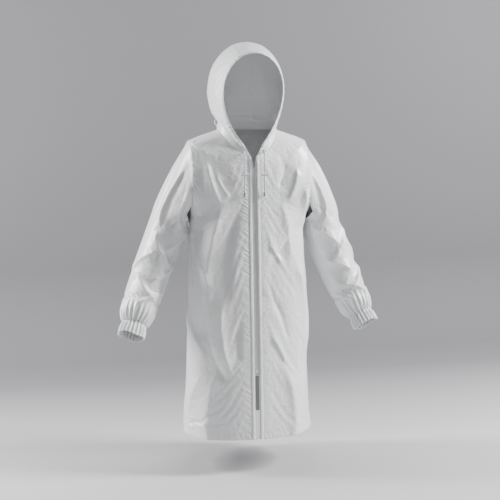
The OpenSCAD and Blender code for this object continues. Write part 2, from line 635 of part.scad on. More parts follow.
module drawcord_end() {
    solid_sweep(tube_rings(cord_path, cord_d / 2, 8, [1, 0, 0]));
}
// The lock lies across the cord: a barrel, and a button that slides in it against a spring.
button_d = lock_d - 2.6;
bore_d = button_d + 2 * running;
button_out = 5.5;
lock_wall = 1.5;
spring_turns = 3;
spring_wire = 0.6;
hole_half = cord_d / 2 + running;
button_head = 2.2;                           // solid end of the button behind the cord
lock_end = hole_half + button_travel + 1.7;  // the barrel's mouth, counted from the cord
lock_start = lock_end - lock_length;
button_start = -hole_half - button_head;
module at_lock() {
    translate([cord_x, hang_y, lock_z]) rotate([0, 90, 0]) children();
}
module cord_lock() {
    at_lock() difference() {
        translate([0, 0, lock_start]) cylinder(h = lock_length, d = lock_d, $fn = 48);
        translate([0, 0, lock_start + lock_wall]) cylinder(h = lock_length, d = bore_d, $fn = 40);
        rotate([0, 90, 0]) cylinder(h = lock_d + 2, r = hole_half, center = true, $fn = 32);
    }
}
module lock_button() {
    at_lock() difference() {
        translate([0, 0, button_start]) cylinder(h = lock_end + button_out - button_start, d = button_d, $fn = 40);
        translate([-lock_d, -hole_half, -hole_half]) cube([2 * lock_d, 2 * hole_half, 2 * hole_half + button_travel]);
    }
}
module lock_spring() {
    start = lock_start + lock_wall + 0.1 + spring_wire / 2;
    finish = button_start - 0.1 - spring_wire / 2;
    steps = spring_turns * 12;
    coil_r = button_d / 2 - spring_wire;
    path = [for (i = [0:steps]) let (a = 30 * i) [coil_r * cos(a), coil_r * sin(a), mix(start, finish, i / steps)]];
    at_lock() solid_sweep(tube_rings(path, spring_wire / 2, 5, [0, 0, 1]));
}
module cord_bell() {
    translate([cord_x, hang_y, cord_end_z - bell_length]) rotate_extrude($fn = 40) polygon([
        [0, 0], [3.4, 0.4], [4.6, 3], [4.6, 6], [3.8, bell_length - 2], [3, bell_length - 0.2],
        [0, bell_length - 0.2]]);
}

// ---------------------------------------------------------------- hanging loop

loop_angle = 128;                            // where it is sewn, round the neck from the zip
module hang_loop() {
    root = section_point(neck_level, true, 180 - loop_angle, -0.6) + [0, 0, 2];
    gap_r = 8;
    turn = atan2(root[1], root[0]);
    color("white") translate([-root[0], root[1], root[2]]) rotate([0, 0, 180 - turn])
        translate([2.2, 0, 0]) rotate([0, 18, 0]) rotate([90, 0, 0]) translate([0, 0, -loop_tape / 2])
        linear_extrude(loop_tape) difference() {
            union() {
                translate([0, loop_height - gap_r - 1.2]) circle(r = gap_r + 1.2, $fn = 40);
                polygon([[-2.2, 0], [2.2, 0], [gap_r + 1.2, loop_height - gap_r - 1.2],
                    [-gap_r - 1.2, loop_height - gap_r - 1.2]]);
            }
            translate([0, loop_height - gap_r - 1.2]) circle(r = gap_r, $fn = 40);
            polygon([[-0.6, 4], [0.6, 4], [gap_r, loop_height - gap_r - 1.2], [-gap_r, loop_height - gap_r - 1.2]]);
        }
}

// ---------------------------------------------------------------- both sides

// A piece is drawn on the wearer's left, and mirrored for the right.
module right() { mirror([1, 0, 0]) children(); }

color("whitesmoke") right() front_panel();  // front_panel_right
color("whitesmoke") front_panel();  // front_panel_left
back_panel();
neck_band();
color("whitesmoke") right() hem_fold();  // hem_right
color("whitesmoke") hem_fold();  // hem_left
hem_back_fold();
color("white") right() front_fold();  // front_fold_right
color("white") front_fold();  // front_fold_left
color("gainsboro") right() side_seam_tape();  // side_seam_tape_right
color("gainsboro") side_seam_tape();  // side_seam_tape_left
color("white") right() pocket_welt();  // pocket_welt_right
color("white") pocket_welt();  // pocket_welt_left
color("gainsboro") right() pocket_bag();  // pocket_bag_right
color("gainsboro") pocket_bag();  // pocket_bag_left
color("whitesmoke") right() sleeve();  // sleeve_right
color("whitesmoke") sleeve();  // sleeve_left
color("white") right() cuff();  // cuff_right
color("white") cuff();  // cuff_left
color("gainsboro") right() cuff_elastic();  // cuff_elastic_right
color("gainsboro") cuff_elastic();  // cuff_elastic_left
color("dimgray") right() underarm_vent();  // underarm_vent_right
color("dimgray") underarm_vent();  // underarm_vent_left
color("whitesmoke") right() hood_side();  // hood_side_right
color("whitesmoke") hood_side();  // hood_side_left
hood_crown();
hood_casing();
drawcord_in_casing();
color("white") right() on_zip() zip_tape();  // zip_tape_right
color("white") on_zip() zip_tape();  // zip_tape_left
color("gainsboro") right() on_zip() zip_coil();  // zip_coil_right
color("gainsboro") on_zip() zip_coil();  // zip_coil_left
zip_top_stops();
zip_bottom_box();
zip_slider();
zip_pull();
lower_placket();
grey_strip();
color("silver") right() eyelet();  // eyelet_right
color("silver") eyelet();  // eyelet_left
color("white") right() drawcord_end();  // drawcord_right
color("white") drawcord_end();  // drawcord_left
color("gray") right() cord_lock();  // cord_lock_right
color("gray") cord_lock();  // cord_lock_left
color("darkgray") right() lock_button();  // lock_button_right
color("darkgray") lock_button();  // lock_button_left
color("silver") right() lock_spring();  // lock_spring_right
color("silver") lock_spring();  // lock_spring_left
color("gray") right() cord_bell();  // cord_bell_right
color("gray") cord_bell();  // cord_bell_left
hang_loop();
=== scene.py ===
# %% [markdown]
# # A white hooded protective coat
# The coat is a thin coated cloth that keeps dust and splashes off. It hangs open as if somebody wore it,
# so the cloth's own folds are most of what there is to see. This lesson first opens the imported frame,
# then lays the cloth out as smooth grids, lets a short cloth simulation crumple them, and sews on the
# zip, the cords, the seams and the cuffs.

# %% Open the frame
import math
import time

import bmesh
import bpy
import numpy as np
from mathutils import Matrix, Vector


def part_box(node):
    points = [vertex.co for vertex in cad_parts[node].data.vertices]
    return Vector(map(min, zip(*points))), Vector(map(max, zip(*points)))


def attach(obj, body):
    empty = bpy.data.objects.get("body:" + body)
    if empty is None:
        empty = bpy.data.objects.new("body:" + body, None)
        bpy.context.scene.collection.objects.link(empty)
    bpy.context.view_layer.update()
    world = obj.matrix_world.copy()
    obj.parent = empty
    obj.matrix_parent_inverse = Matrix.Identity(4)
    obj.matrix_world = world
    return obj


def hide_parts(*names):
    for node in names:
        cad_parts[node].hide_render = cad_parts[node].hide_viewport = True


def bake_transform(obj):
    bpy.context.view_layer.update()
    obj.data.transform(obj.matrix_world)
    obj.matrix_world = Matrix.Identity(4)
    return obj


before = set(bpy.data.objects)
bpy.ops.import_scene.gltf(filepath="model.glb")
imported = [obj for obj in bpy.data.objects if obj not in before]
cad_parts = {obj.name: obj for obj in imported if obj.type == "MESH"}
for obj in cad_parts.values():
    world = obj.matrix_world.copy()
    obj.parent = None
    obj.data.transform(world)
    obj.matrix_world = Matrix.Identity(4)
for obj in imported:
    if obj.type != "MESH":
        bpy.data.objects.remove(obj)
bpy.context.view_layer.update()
started = time.time()
bpy.ops.object.select_all(action="DESELECT")

# %% [markdown]
# ## The camera
# The coat is seen a little from the wearer's right and from about shoulder height. A long lens keeps the
# hem and the hood in proportion. The camera comes first, because the free cords are judged from it.

# %% Place the camera
CAMERA_AZIMUTH = math.radians(-14.0)
CAMERA_PITCH = math.radians(8.0)
CAMERA_DISTANCE = 3.55
LOOK_AT = Vector((0.012, 0.0, -0.412))
away = Vector((
    math.sin(CAMERA_AZIMUTH) * math.cos(CAMERA_PITCH),
    -math.cos(CAMERA_AZIMUTH) * math.cos(CAMERA_PITCH),
    math.sin(CAMERA_PITCH)))
camera_data = bpy.data.cameras.new("camera")
camera_data.lens = 76.0
camera = bpy.data.objects.new("camera", camera_data)
camera.location = LOOK_AT + away * CAMERA_DISTANCE
camera.rotation_euler = (-away).to_track_quat("-Z", "Y").to_euler()
bpy.context.scene.collection.objects.link(camera)
bpy.context.scene.camera = camera
print("camera at", [round(v, 3) for v in camera.location])

# %% [markdown]
# ## The drawcords
# A drawcord leaves its eyelet forwards, bends down under its own weight and hangs straight, with a cord
# lock half way and a bell at its end. A curve with one spline is the simplest free cord. Its points are
# those of the frame's own cord, so the lock and the bell sit on it without fitting.

# %% Hang the two drawcords
ZIP_TOP_Z = -0.095
CORD_X = 0.033
CORD_RADIUS = 0.002
EYELET = (CORD_X, -0.0962, ZIP_TOP_Z + 0.017)
CORD_HANG_Y = -0.113
CORD_END_Z = -0.207
CORD_BEND = [(-0.003, 0.0), (-0.006, 0.0004), (-0.010, -0.001), (-0.0135, -0.004), (-0.016, -0.0085)]


def cord_points(side):
    bend = [(side * CORD_X, EYELET[1] + y, EYELET[2] + z) for y, z in CORD_BEND]
    top = EYELET[2] - 0.014
    drop = [(side * CORD_X, CORD_HANG_Y, top + (CORD_END_Z - top) * i / 14) for i in range(15)]
    return bend + drop


def length_of(points):
    return sum((Vector(b) - Vector(a)).length for a, b in zip(points, points[1:]))


def make_cord(name, side):
    points = cord_points(side)
    data = bpy.data.curves.new(name, "CURVE")
    data.dimensions = "3D"
    data.bevel_depth = CORD_RADIUS
    data.bevel_resolution = 3
    data.use_fill_caps = True
    spline = data.splines.new("POLY")
    spline.points.add(len(points) - 1)
    for place, p in zip(spline.points, points):
        place.co = (*p, 1.0)
    cord = bpy.data.objects.new(name, data)
    bpy.context.scene.collection.objects.link(cord)
    return cord


SIDES = {"right": -1, "left": 1}
cords = {name: make_cord(f"hanging_cord_{name}", side) for name, side in SIDES.items()}
print("each cord is", round(length_of(cord_points(1)), 4), "m long")

# %% [markdown]
# ## Finishes
# The coat is one cloth in many pieces: a tight plain weave under a thin, slightly glossy coating. Two
# node groups hold what the finishes share. One gives the weave's height, and the other the small crumples
# that a thin coated cloth keeps from being folded and a faint change of shade, since no white cloth is one
# even white. The Principled shader stays in each material, with its plain numbers on its own sockets.

# %% Small helpers for nodes
def new_group(name, inputs, outputs):
    group = bpy.data.node_groups.new(name, "ShaderNodeTree")
    for label, kind, value in inputs:
        socket = group.interface.new_socket(name=label, in_out="INPUT", socket_type=kind)
        if value is not None:
            socket.default_value = value
    for label, kind in outputs:
        group.interface.new_socket(name=label, in_out="OUTPUT", socket_type=kind)
    return group, group.nodes.new("NodeGroupInput"), group.nodes.new("NodeGroupOutput")


def math_node(tree, operation, a, b=None):
    node = tree.nodes.new("ShaderNodeMath")
    node.operation = operation
    for socket, value in zip(node.inputs, (a, b)):
        if value is None:
            continue
        if hasattr(value, "is_linked"):
            tree.links.new(value, socket)
        else:
            socket.default_value = value
    return node.outputs[0]


def noise(tree, vector, scale, detail=3.0, roughness=0.5):
    node = tree.nodes.new("ShaderNodeTexNoise")
    tree.links.new(vector, node.inputs["Vector"])
    if hasattr(scale, "is_linked"):
        tree.links.new(scale, node.inputs["Scale"])
    else:
        node.inputs["Scale"].default_value = scale
    node.inputs["Detail"].default_value = detail
    node.inputs["Roughness"].default_value = roughness
    return node.outputs["Fac"]


# %% Weave group
def make_weave_group():
    """Plain weave on metre coordinates: warp and weft ribs that take turns on top."""
    tree, inlet, outlet = new_group(
        "plain_weave",
        [("Vector", "NodeSocketVector", None), ("Threads per metre", "NodeSocketFloat", 1800.0)],
        [("Height", "NodeSocketFloat")])
    split = tree.nodes.new("ShaderNodeSeparateXYZ")
    tree.links.new(inlet.outputs["Vector"], split.inputs[0])
    ribs = []
    for axis in ("X", "Y"):
        turned = math_node(tree, "MULTIPLY", split.outputs[axis], inlet.outputs["Threads per metre"])
        ribs.append(math_node(tree, "SINE", math_node(tree, "MULTIPLY", turned, math.pi)))
    height = math_node(tree, "MULTIPLY", ribs[0], ribs[1])
    tree.links.new(math_node(tree, "ABSOLUTE", height), outlet.inputs["Height"])
    return tree


weave_group = make_weave_group()


# %% Crumple group
def make_crumple_group():
    """Small folds that a coated cloth remembers: ridged noise, stretched along the cloth."""
    tree, inlet, outlet = new_group(
        "crumple", [("Vector", "NodeSocketVector", None), ("Scale", "NodeSocketFloat", 14.0)],
        [("Height", "NodeSocketFloat"), ("Shade", "NodeSocketFloat")])
    warped = tree.nodes.new("ShaderNodeVectorMath")
    warped.operation = "ADD"
    wander = tree.nodes.new("ShaderNodeTexNoise")
    wander.inputs["Scale"].default_value = 5.0
    tree.links.new(inlet.outputs["Vector"], wander.inputs["Vector"])
    small = tree.nodes.new("ShaderNodeVectorMath")
    small.operation = "SCALE"
    small.inputs["Scale"].default_value = 0.09
    tree.links.new(wander.outputs["Color"], small.inputs[0])
    stretched = tree.nodes.new("ShaderNodeVectorMath")
    stretched.operation = "MULTIPLY"
    stretched.inputs[1].default_value = (1.0, 0.5, 1.0)
    tree.links.new(inlet.outputs["Vector"], stretched.inputs[0])
    tree.links.new(stretched.outputs[0], warped.inputs[0])
    tree.links.new(small.outputs[0], warped.inputs[1])
    cells = tree.nodes.new("ShaderNodeTexVoronoi")
    cells.feature = "DISTANCE_TO_EDGE"
    tree.links.new(warped.outputs[0], cells.inputs["Vector"])
    tree.links.new(inlet.outputs["Scale"], cells.inputs["Scale"])
    ridge = math_node(tree, "MINIMUM", cells.outputs["Distance"], 0.32)
    grain = noise(tree, inlet.outputs["Vector"], 60.0, 4.0, 0.6)
    ridges = math_node(tree, "MULTIPLY", ridge, 2.2)
    height = math_node(tree, "ADD", ridges, math_node(tree, "MULTIPLY", grain, 0.35))
    tree.links.new(height, outlet.inputs["Height"])
    tree.links.new(noise(tree, inlet.outputs["Vector"], 3.5, 2.0), outlet.inputs["Shade"])
    return tree


crumple_group = make_crumple_group()
print("node groups:", [g.name for g in bpy.data.node_groups])


# %% One maker for every cloth finish
def principled(material):
    return material.node_tree.nodes["Principled BSDF"]


def new_material(name, color, roughness, metallic=0.0):
    material = bpy.data.materials.new(name)
    material.use_nodes = True
    shader = principled(material)
    shader.inputs["Base Color"].default_value = (*color, 1.0)
    shader.inputs["Roughness"].default_value = roughness
    shader.inputs["Metallic"].default_value = metallic
    material.diffuse_color = (*color, 1.0)
    return material


def cloth_material(name, dark, light, roughness, threads, crumple_scale, crumple_depth, weave_depth, coat=0.0,
                   use_uv=True):
    """dark and light are the shades the cloth wanders between; depths are in metres."""
    material = new_material(name, light, roughness)
    tree = material.node_tree
    shader = principled(material)
    place = tree.nodes.new("ShaderNodeTexCoord").outputs["UV" if use_uv else "Object"]
    crumple = tree.nodes.new("ShaderNodeGroup")
    crumple.node_tree = crumple_group
    crumple.inputs["Scale"].default_value = crumple_scale
    tree.links.new(place, crumple.inputs["Vector"])
    weave = tree.nodes.new("ShaderNodeGroup")
    weave.node_tree = weave_group
    weave.inputs["Threads per metre"].default_value = threads
    tree.links.new(place, weave.inputs["Vector"])
    shade = tree.nodes.new("ShaderNodeMix")
    shade.data_type = "RGBA"
    shade.inputs[6].default_value = (*dark, 1.0)
    shade.inputs[7].default_value = (*light, 1.0)
    tree.links.new(crumple.outputs["Shade"], shade.inputs[0])
    tree.links.new(shade.outputs[2], shader.inputs["Base Color"])
    gloss = tree.nodes.new("ShaderNodeMapRange")
    gloss.inputs["To Min"].default_value = roughness - 0.06
    gloss.inputs["To Max"].default_value = roughness + 0.08
    tree.links.new(crumple.outputs["Shade"], gloss.inputs["Value"])
    tree.links.new(gloss.outputs[0], shader.inputs["Roughness"])
    coarse = tree.nodes.new("ShaderNodeBump")
    coarse.inputs["Distance"].default_value = crumple_depth
    tree.links.new(crumple.outputs["Height"], coarse.inputs["Height"])
    fine = tree.nodes.new("ShaderNodeBump")
    fine.inputs["Distance"].default_value = weave_depth
    fine.inputs["Strength"].default_value = 0.6
    tree.links.new(weave.outputs["Height"], fine.inputs["Height"])
    tree.links.new(coarse.outputs["Normal"], fine.inputs["Normal"])
    tree.links.new(fine.outputs["Normal"], shader.inputs["Normal"])
    shader.inputs["Coat Weight"].default_value = coat
    shader.inputs["Coat Roughness"].default_value = 0.22
    shader.inputs["IOR"].default_value = 1.48
    return material


WHITE_DARK, WHITE_LIGHT = (0.76, 0.77, 0.78), (0.86, 0.865, 0.87)
coat_cloth = cloth_material("white_cloth", WHITE_DARK, WHITE_LIGHT, 0.36, 1400.0, 4.5, 0.0080, 0.00008, 0.5)
gathered_cloth = cloth_material(
    "gathered_white_cloth", WHITE_DARK, WHITE_LIGHT, 0.45, 1400.0, 40.0, 0.0007, 0.00008)
tape_cloth = cloth_material(
    "woven_tape", (0.72, 0.73, 0.74), (0.84, 0.84, 0.85), 0.6, 900.0, 60.0, 0.0002, 0.00015)
for entry in (coat_cloth, gathered_cloth):
    principled(entry).inputs["Sheen Weight"].default_value = 0.12
print("finishes so far:", [m.name for m in bpy.data.materials if m.node_tree and m.name.endswith("cloth")])

# %% [markdown]
# ## The cloth, laid out smooth
# A coat is cut from flat panels and sewn into tubes. Each tube is a grid of points here: rows up the coat
# and columns round it, on the same curves as the frame's own solids. The grids share their edge points at
# the side seams, the shoulders and the armholes, so they make one skin for the simulation, and each grid
# keeps the numbers of its points in the skin, so the skin can be cut apart again afterwards.

# %% Sizes that the grids follow, from the frame
front_low, front_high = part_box("front_panel_left")
back_low, back_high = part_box("back_panel")
sleeve_low, sleeve_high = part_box("sleeve_left")
HEM_Z = front_low.z
HEM_HALF, HEM_FRONT, HEM_BACK = back_high.x, -front_low.y, back_high.y
FRONT_EDGE = front_low.x
ARMHOLE_HALF = sleeve_low.x
ARMHOLE_TOP, ARMHOLE_BOTTOM = -0.044, -0.288
ARMHOLE_MID, ARMHOLE_REACH = (ARMHOLE_TOP + ARMHOLE_BOTTOM) / 2, (ARMHOLE_TOP - ARMHOLE_BOTTOM) / 2
ARMHOLE_DEPTH = 0.083
CHEST_HALF = 0.190
NECK_HALF, NECK_FRONT, NECK_BACK = 0.100, 0.097, 0.076
NECK_SIDE_Z, NECK_DROP = -0.010, 0.085
LEAN = (HEM_FRONT - NECK_FRONT) / (ZIP_TOP_Z - HEM_Z)
print("hem at", round(HEM_Z, 3), "lean", round(LEAN, 4), "front edge", round(FRONT_EDGE, 4))


# %% The coat's section at a height
def mix(a, b, t):
    return a + (b - a) * t


def smooth(t):
    t = np.clip(t, 0.0, 1.0)
    return t * t * (3 - 2 * t)


def low_level(z):
    """Height, front drop, half width, back depth, armhole half depth, squareness."""
    half = np.interp(z, [HEM_Z, mix(HEM_Z, ARMHOLE_BOTTOM, 0.55), ARMHOLE_BOTTOM - 0.04, ARMHOLE_BOTTOM],
                     [HEM_HALF, mix(HEM_HALF, CHEST_HALF, 0.62), CHEST_HALF, ARMHOLE_HALF])
    back = np.interp(z, [HEM_Z, ARMHOLE_BOTTOM - 0.18, ARMHOLE_BOTTOM], [HEM_BACK, 0.128, 0.130])
    return z, 0.0, half, back, -1.0, 2.4


def arm_level(k, steps):
    turn = math.pi * k / steps
    t = (1 + math.cos(turn)) / 2
    return (ARMHOLE_MID + ARMHOLE_REACH * math.cos(turn), NECK_DROP * mix(0.04, 0.88, t ** 1.4), ARMHOLE_HALF,
            mix(0.130, 0.1106, t * t), ARMHOLE_DEPTH * math.sin(turn), 2.4)


def arm_level_at(z):
    """The armhole's level at any height between its ends."""
    return arm_level(math.acos(max(-1.0, min(1.0, (z - ARMHOLE_MID) / ARMHOLE_REACH))) / math.pi, 1)


def shoulder_level(t):
    return (mix(ARMHOLE_TOP, NECK_SIDE_Z, t ** 0.9), NECK_DROP * mix(0.88, 1.0, t), mix(ARMHOLE_HALF, NECK_HALF, t),
            mix(0.1106, NECK_BACK, t), -1.0, mix(2.4, 2.05, t))


def level_depth(level, back):
    return level[3] if back else NECK_FRONT + LEAN * (ZIP_TOP_Z - (level[0] - level[1]))


def level_half(level, depth):
    if level[4] <= 1e-9:
        return level[2]
    return ARMHOLE_HALF / (1 - min(0.97, level[4] / depth) ** level[5]) ** (1 / level[5])


def angle_at(level, back, x):
    share = min(1.0, x / level_half(level, level_depth(level, back)))
    return math.asin(share ** (level[5] / 2))


def end_angle(level, back):
    return math.pi / 2 if level[4] < 0 else angle_at(level, back, ARMHOLE_HALF)


def section(level, back, angles):
    """Points of one level, on the wearer's left, at angles from the front's or the back's middle."""
    depth = level_depth(level, back)
    power = 2 / level[5]
    sin, cos = np.sin(angles), np.abs(np.cos(angles))
    x = level_half(level, depth) * sin ** power
    y = (depth if back else -depth) * cos ** power
    z = level[0] - (0.0 if back else level[1]) * cos ** 2
    return np.stack([x, y, np.broadcast_to(z, x.shape)], axis=-1)


# %% Rows of the body
LOW_ROWS, ARM_ROWS, SHOULDER_ROWS = 84, 40, 12
HALF_COLUMNS = 38
neck_level = shoulder_level(1.0)
low_levels = [low_level(z) for z in np.linspace(HEM_Z, ARMHOLE_BOTTOM - 0.006, LOW_ROWS)]
shoulder_levels = [shoulder_level(t) for t in np.linspace(0, 1, SHOULDER_ROWS + 1)[1:]]


def spread(start, end, count):
    return np.linspace(start, end, count + 1)


EVEN_SHARES = np.linspace(0, 1, HALF_COLUMNS + 1)
FRONT_SHARES = mix(EVEN_SHARES ** 1.6, EVEN_SHARES, 0.45)


def front_spread(start, end):
    """Columns stand closer together beside the zip, where the stitching puckers the cloth."""
    return mix(start, end, FRONT_SHARES)


def body_row(level, back):
    if back:
        return section(level, True, spread(end_angle(level, True), 0.0, HALF_COLUMNS))
    return section(level, False, front_spread(angle_at(level, False, FRONT_EDGE), end_angle(level, False)))


def arm_row(k, back):
    """Evenly spaced rows in the middle of the panel that bend to meet the armhole's own steps at its side."""
    even = mix(ARMHOLE_TOP, ARMHOLE_BOTTOM, k / ARM_ROWS)
    stepped = arm_level(k, ARM_ROWS)[0]
    shares = EVEN_SHARES[::-1] if back else FRONT_SHARES
    points = []
    for column, share in enumerate(shares):
        level = arm_level(k, ARM_ROWS) if share == 1.0 else arm_level_at(mix(even, stepped, share ** 3))
        points.append(body_row(level, back)[column])
    return np.array(points)


def body_grid(back):
    rows = [body_row(level, back) for level in low_levels]
    rows += [arm_row(k, back) for k in range(ARM_ROWS, -1, -1)]
    return np.array(rows + [body_row(level, back) for level in shoulder_levels])


front_grid = body_grid(False)
half_back = body_grid(True)
MIRROR = np.array([-1.0, 1.0, 1.0])
back_grid = np.concatenate([half_back, half_back[:, -2::-1] * MIRROR], axis=1)
print("front grid", front_grid.shape, "back grid", back_grid.shape)

# %% Rings of the sleeve
WRIST = np.array([0.388, -0.050, -0.635])
SLEEVE_LINE = np.array([
    [ARMHOLE_HALF, 0.0, ARMHOLE_MID],
    [mix(ARMHOLE_HALF, WRIST[0], 0.33), 0.038, mix(ARMHOLE_MID, WRIST[2], 0.33)],
    [mix(ARMHOLE_HALF, WRIST[0], 0.67), 0.042, mix(ARMHOLE_MID, WRIST[2], 0.67)],
    WRIST])
SLEEVE_RADII = ([0, 0.1, 0.2, 0.3, 0.55, 0.77, 0.88, 0.94, 0.975, 1],
                [0.104, 0.090, 0.076, 0.068, 0.064, 0.062, 0.0595, 0.0565, 0.0495, 0.0405])
PLEATS = 22


def bezier(points, t):
    u = 1 - t
    return u ** 3 * points[0] + 3 * t * u * u * points[1] + 3 * t * t * u * points[2] + t ** 3 * points[3]


def sleeve_axes(s):
    ahead = bezier(SLEEVE_LINE, min(1, s + 0.02)) - bezier(SLEEVE_LINE, max(0, s - 0.02))
    along = ahead / np.linalg.norm(ahead)
    fore = np.array([0.0, -1.0, 0.0]) + along * along[1]
    fore /= np.linalg.norm(fore)
    return along, fore, np.cross(fore, along)


def armhole_loop():
    """Down the front edge of the armhole and up the back one."""
    front = [section(arm_level(k, ARM_ROWS), False, np.array([end_angle(arm_level(k, ARM_ROWS), False)]))[0]
             for k in range(ARM_ROWS + 1)]
    back = [section(arm_level(k, ARM_ROWS), True, np.array([end_angle(arm_level(k, ARM_ROWS), True)]))[0]
            for k in range(ARM_ROWS - 1, 0, -1)]
    return np.array(front + back)


def beside_body(ring, s):
    """The upper sleeve hangs flat beside the body, and its underside reaches lower and lower down."""
    low, high = ring.min(axis=0), ring.max(axis=0)
    near_x, under_z = ARMHOLE_HALF + 0.0008 * min(1, s * 20) + 0.008 * s, ARMHOLE_BOTTOM - 0.07 * s
    x_share = (high[0] - near_x) / (high[0] - low[0]) if s > 0 and low[0] < near_x else 1
    z_share = (high[2] - under_z) / (high[2] - low[2]) if low[2] > under_z else 1
    return high - (high - ring) * np.array([x_share, 1, z_share])


def sleeve_ring(s, loop):
    along, fore, out = sleeve_axes(s)
    middle = bezier(SLEEVE_LINE, s)
    radius = np.interp(s, *SLEEVE_RADII)
    flat = np.interp(s, [0, 0.2, 0.45, 0.9, 1], [0.83, 1.06, 1.12, 1.06, 1])
    angles = np.arange(2 * ARM_ROWS) * math.pi / ARM_ROWS
    ring = middle + radius * (np.cos(angles)[:, None] * out + flat * np.sin(angles)[:, None] * fore)
    return beside_body(mix(loop + (middle - SLEEVE_LINE[0]), ring, smooth(s / 0.3)), s)


SLEEVE_ROWS = 72
sleeve_shares = np.linspace(0, 1, SLEEVE_ROWS + 1) ** 0.98
sleeve_grid = np.array([sleeve_ring(s, armhole_loop()) for s in sleeve_shares])
print("sleeve grid", sleeve_grid.shape, "gap at the armhole",
      round(float(np.abs(sleeve_grid[0] - armhole_loop()).max()), 6))

# %% [markdown]
# ## The neck band and the hood
# The hood is cut in three: a strip over the crown and a side on each hand. Seen from the side it is a fan
# of arches, from the face opening at the front to the short nape seam at the back. Every arch starts on
# the neck band, widens over the ear and closes over the crown, so one rule with a few widths makes it.

# %% The neck band
BAND_HEIGHT, BAND_LEAN, V_SPREAD = 0.028, 0.004, 0.020
BAND_ROWS, BAND_COLUMNS = 5, HALF_COLUMNS


def band_row(t):
    start = angle_at(neck_level, False, FRONT_EDGE + V_SPREAD * t)
    front = section(neck_level, False, front_spread(start, math.pi / 2))
    back = section(neck_level, True, spread(math.pi / 2, 0.0, BAND_COLUMNS))[1:]
    left = np.concatenate([front, back])
    flat = left.copy()
    flat[:, 2] = 0
    inward = -flat / np.linalg.norm(flat, axis=1)[:, None]
    return left + inward * BAND_LEAN * t + np.array([0, 0, BAND_HEIGHT * t])


def whole_row(left):
    return np.concatenate([left, left[-2::-1] * MIRROR])


band_grid = np.array([whole_row(band_row(t)) for t in np.linspace(0, 1, BAND_ROWS)])
band_top = band_row(1.0)

# %% The crown's profile and the arches
HOOD_TOP, FACE_TOP, FACE_WIDE_Z = 0.276, 0.235, 0.115
FACE_HALF, EAR_HALF, FOREHEAD, HOOD_BACK = 0.099, 0.124, 0.122, 0.126
CROWN_HALF = 0.045
CROWN_MIDDLE = np.array([0.005, 0.118])
NAPE = np.array([NECK_BACK - BAND_LEAN, NECK_SIDE_Z + BAND_HEIGHT])
rise = HOOD_TOP - CROWN_MIDDLE[1]
front_span = (FOREHEAD + CROWN_MIDDLE[0]) / math.sqrt(1 - ((FACE_TOP - CROWN_MIDDLE[1]) / rise) ** 2)
back_span = HOOD_BACK - CROWN_MIDDLE[0]
nape_fall = (CROWN_MIDDLE[1] - NAPE[1]) / math.sqrt(1 - ((NAPE[0] - CROWN_MIDDLE[0]) / back_span) ** 2)
front_turn = math.pi - math.asin((FACE_TOP - CROWN_MIDDLE[1]) / rise)
nape_turn = -math.acos((NAPE[0] - CROWN_MIDDLE[0]) / back_span)


def crown_profile(count):
    turns = np.linspace(front_turn, nape_turn, 400)
    y = CROWN_MIDDLE[0] + np.where(turns > math.pi / 2, front_span, back_span) * np.cos(turns)
    z = CROWN_MIDDLE[1] + np.where(turns > 0, rise, nape_fall) * np.sin(turns)
    return resample(np.stack([np.zeros_like(y), y, z], axis=1), count)


def resample(points, count):
    """The same line, with count + 1 points evenly along it."""
    steps = np.linalg.norm(np.diff(points, axis=0), axis=1)
    along = np.concatenate([[0], np.cumsum(steps)])
    want = np.linspace(0, along[-1], count + 1)
    return np.stack([np.interp(want, along, points[:, k]) for k in range(3)], axis=1)


HOOD_ROWS, SIDE_COLUMNS, CROWN_COLUMNS = 60, 34, 6
crown_line = crown_profile(HOOD_ROWS)
nape_end = int(np.argmin(np.abs(band_top[BAND_COLUMNS:, 0] - 0.062))) + BAND_COLUMNS
base_line = resample(band_top[:nape_end + 1], HOOD_ROWS)


def arch(i):
    """Half an arch, from the neck band at its foot up to the middle of the crown."""
    f = i / HOOD_ROWS
    foot, top = base_line[i], crown_line[i]
    wide = np.interp(f, [0, 0.2, 0.4, 0.6, 0.78, 0.9, 1],
                     [FACE_HALF, 0.116, EAR_HALF, 0.121, 0.108, 0.088, 0.064])
    wide = max(wide, foot[0] + 0.001)
    knee = mix((FACE_WIDE_Z - foot[2]) / (FACE_TOP - foot[2]) if i == 0 else 0.55, 0.5, f)
    q = np.linspace(0, 1, 60)
    low_x = wide - (wide - foot[0]) * (1 - q) ** 2.0
    phi = np.linspace(0, math.pi / 2, 60)[1:]
    x = np.concatenate([low_x, wide * np.cos(phi)])
    tau = np.concatenate([knee * q, knee + (1 - knee) * np.sin(phi)])
    y = foot[1] + (top[1] - foot[1]) * tau + 0.018 * (1 - f) ** 2 * np.sin(math.pi * tau ** 0.8)
    z = foot[2] + (top[2] - foot[2]) * tau
    line = np.stack([x, y, z], axis=1)
    seam = int(np.argmax(x[60:] < CROWN_HALF)) + 60
    return np.concatenate([resample(line[:seam + 1], SIDE_COLUMNS), resample(line[seam:], CROWN_COLUMNS)[1:]])


hood_grid = np.array([whole_row(arch(i)) for i in range(HOOD_ROWS + 1)])
print("band grid", band_grid.shape, "hood grid", hood_grid.shape)

# %% [markdown]
# ## Crumpling the cloth
# A smooth shell looks like plastic. Real folds come from cloth that is a little too big for the space it
# hangs in, so the simulation lets every thread grow by a few per cent. Weak pins hold every point near its
# place, strong ones hold the seams, the zip and the cuffs, and the spare cloth in between has to buckle.
# That is quick, it needs no body inside, and it can't fall apart.

# %% How much spare cloth each place has
MOST_SPARE = 0.06


def spare_body(grid):
    heights = [HEM_Z, -0.75, -0.45, -0.3, -0.12, -0.05]
    return np.interp(grid[..., 2], heights, [0.012, 0.030, 0.034, 0.040, 0.026, 0.0])


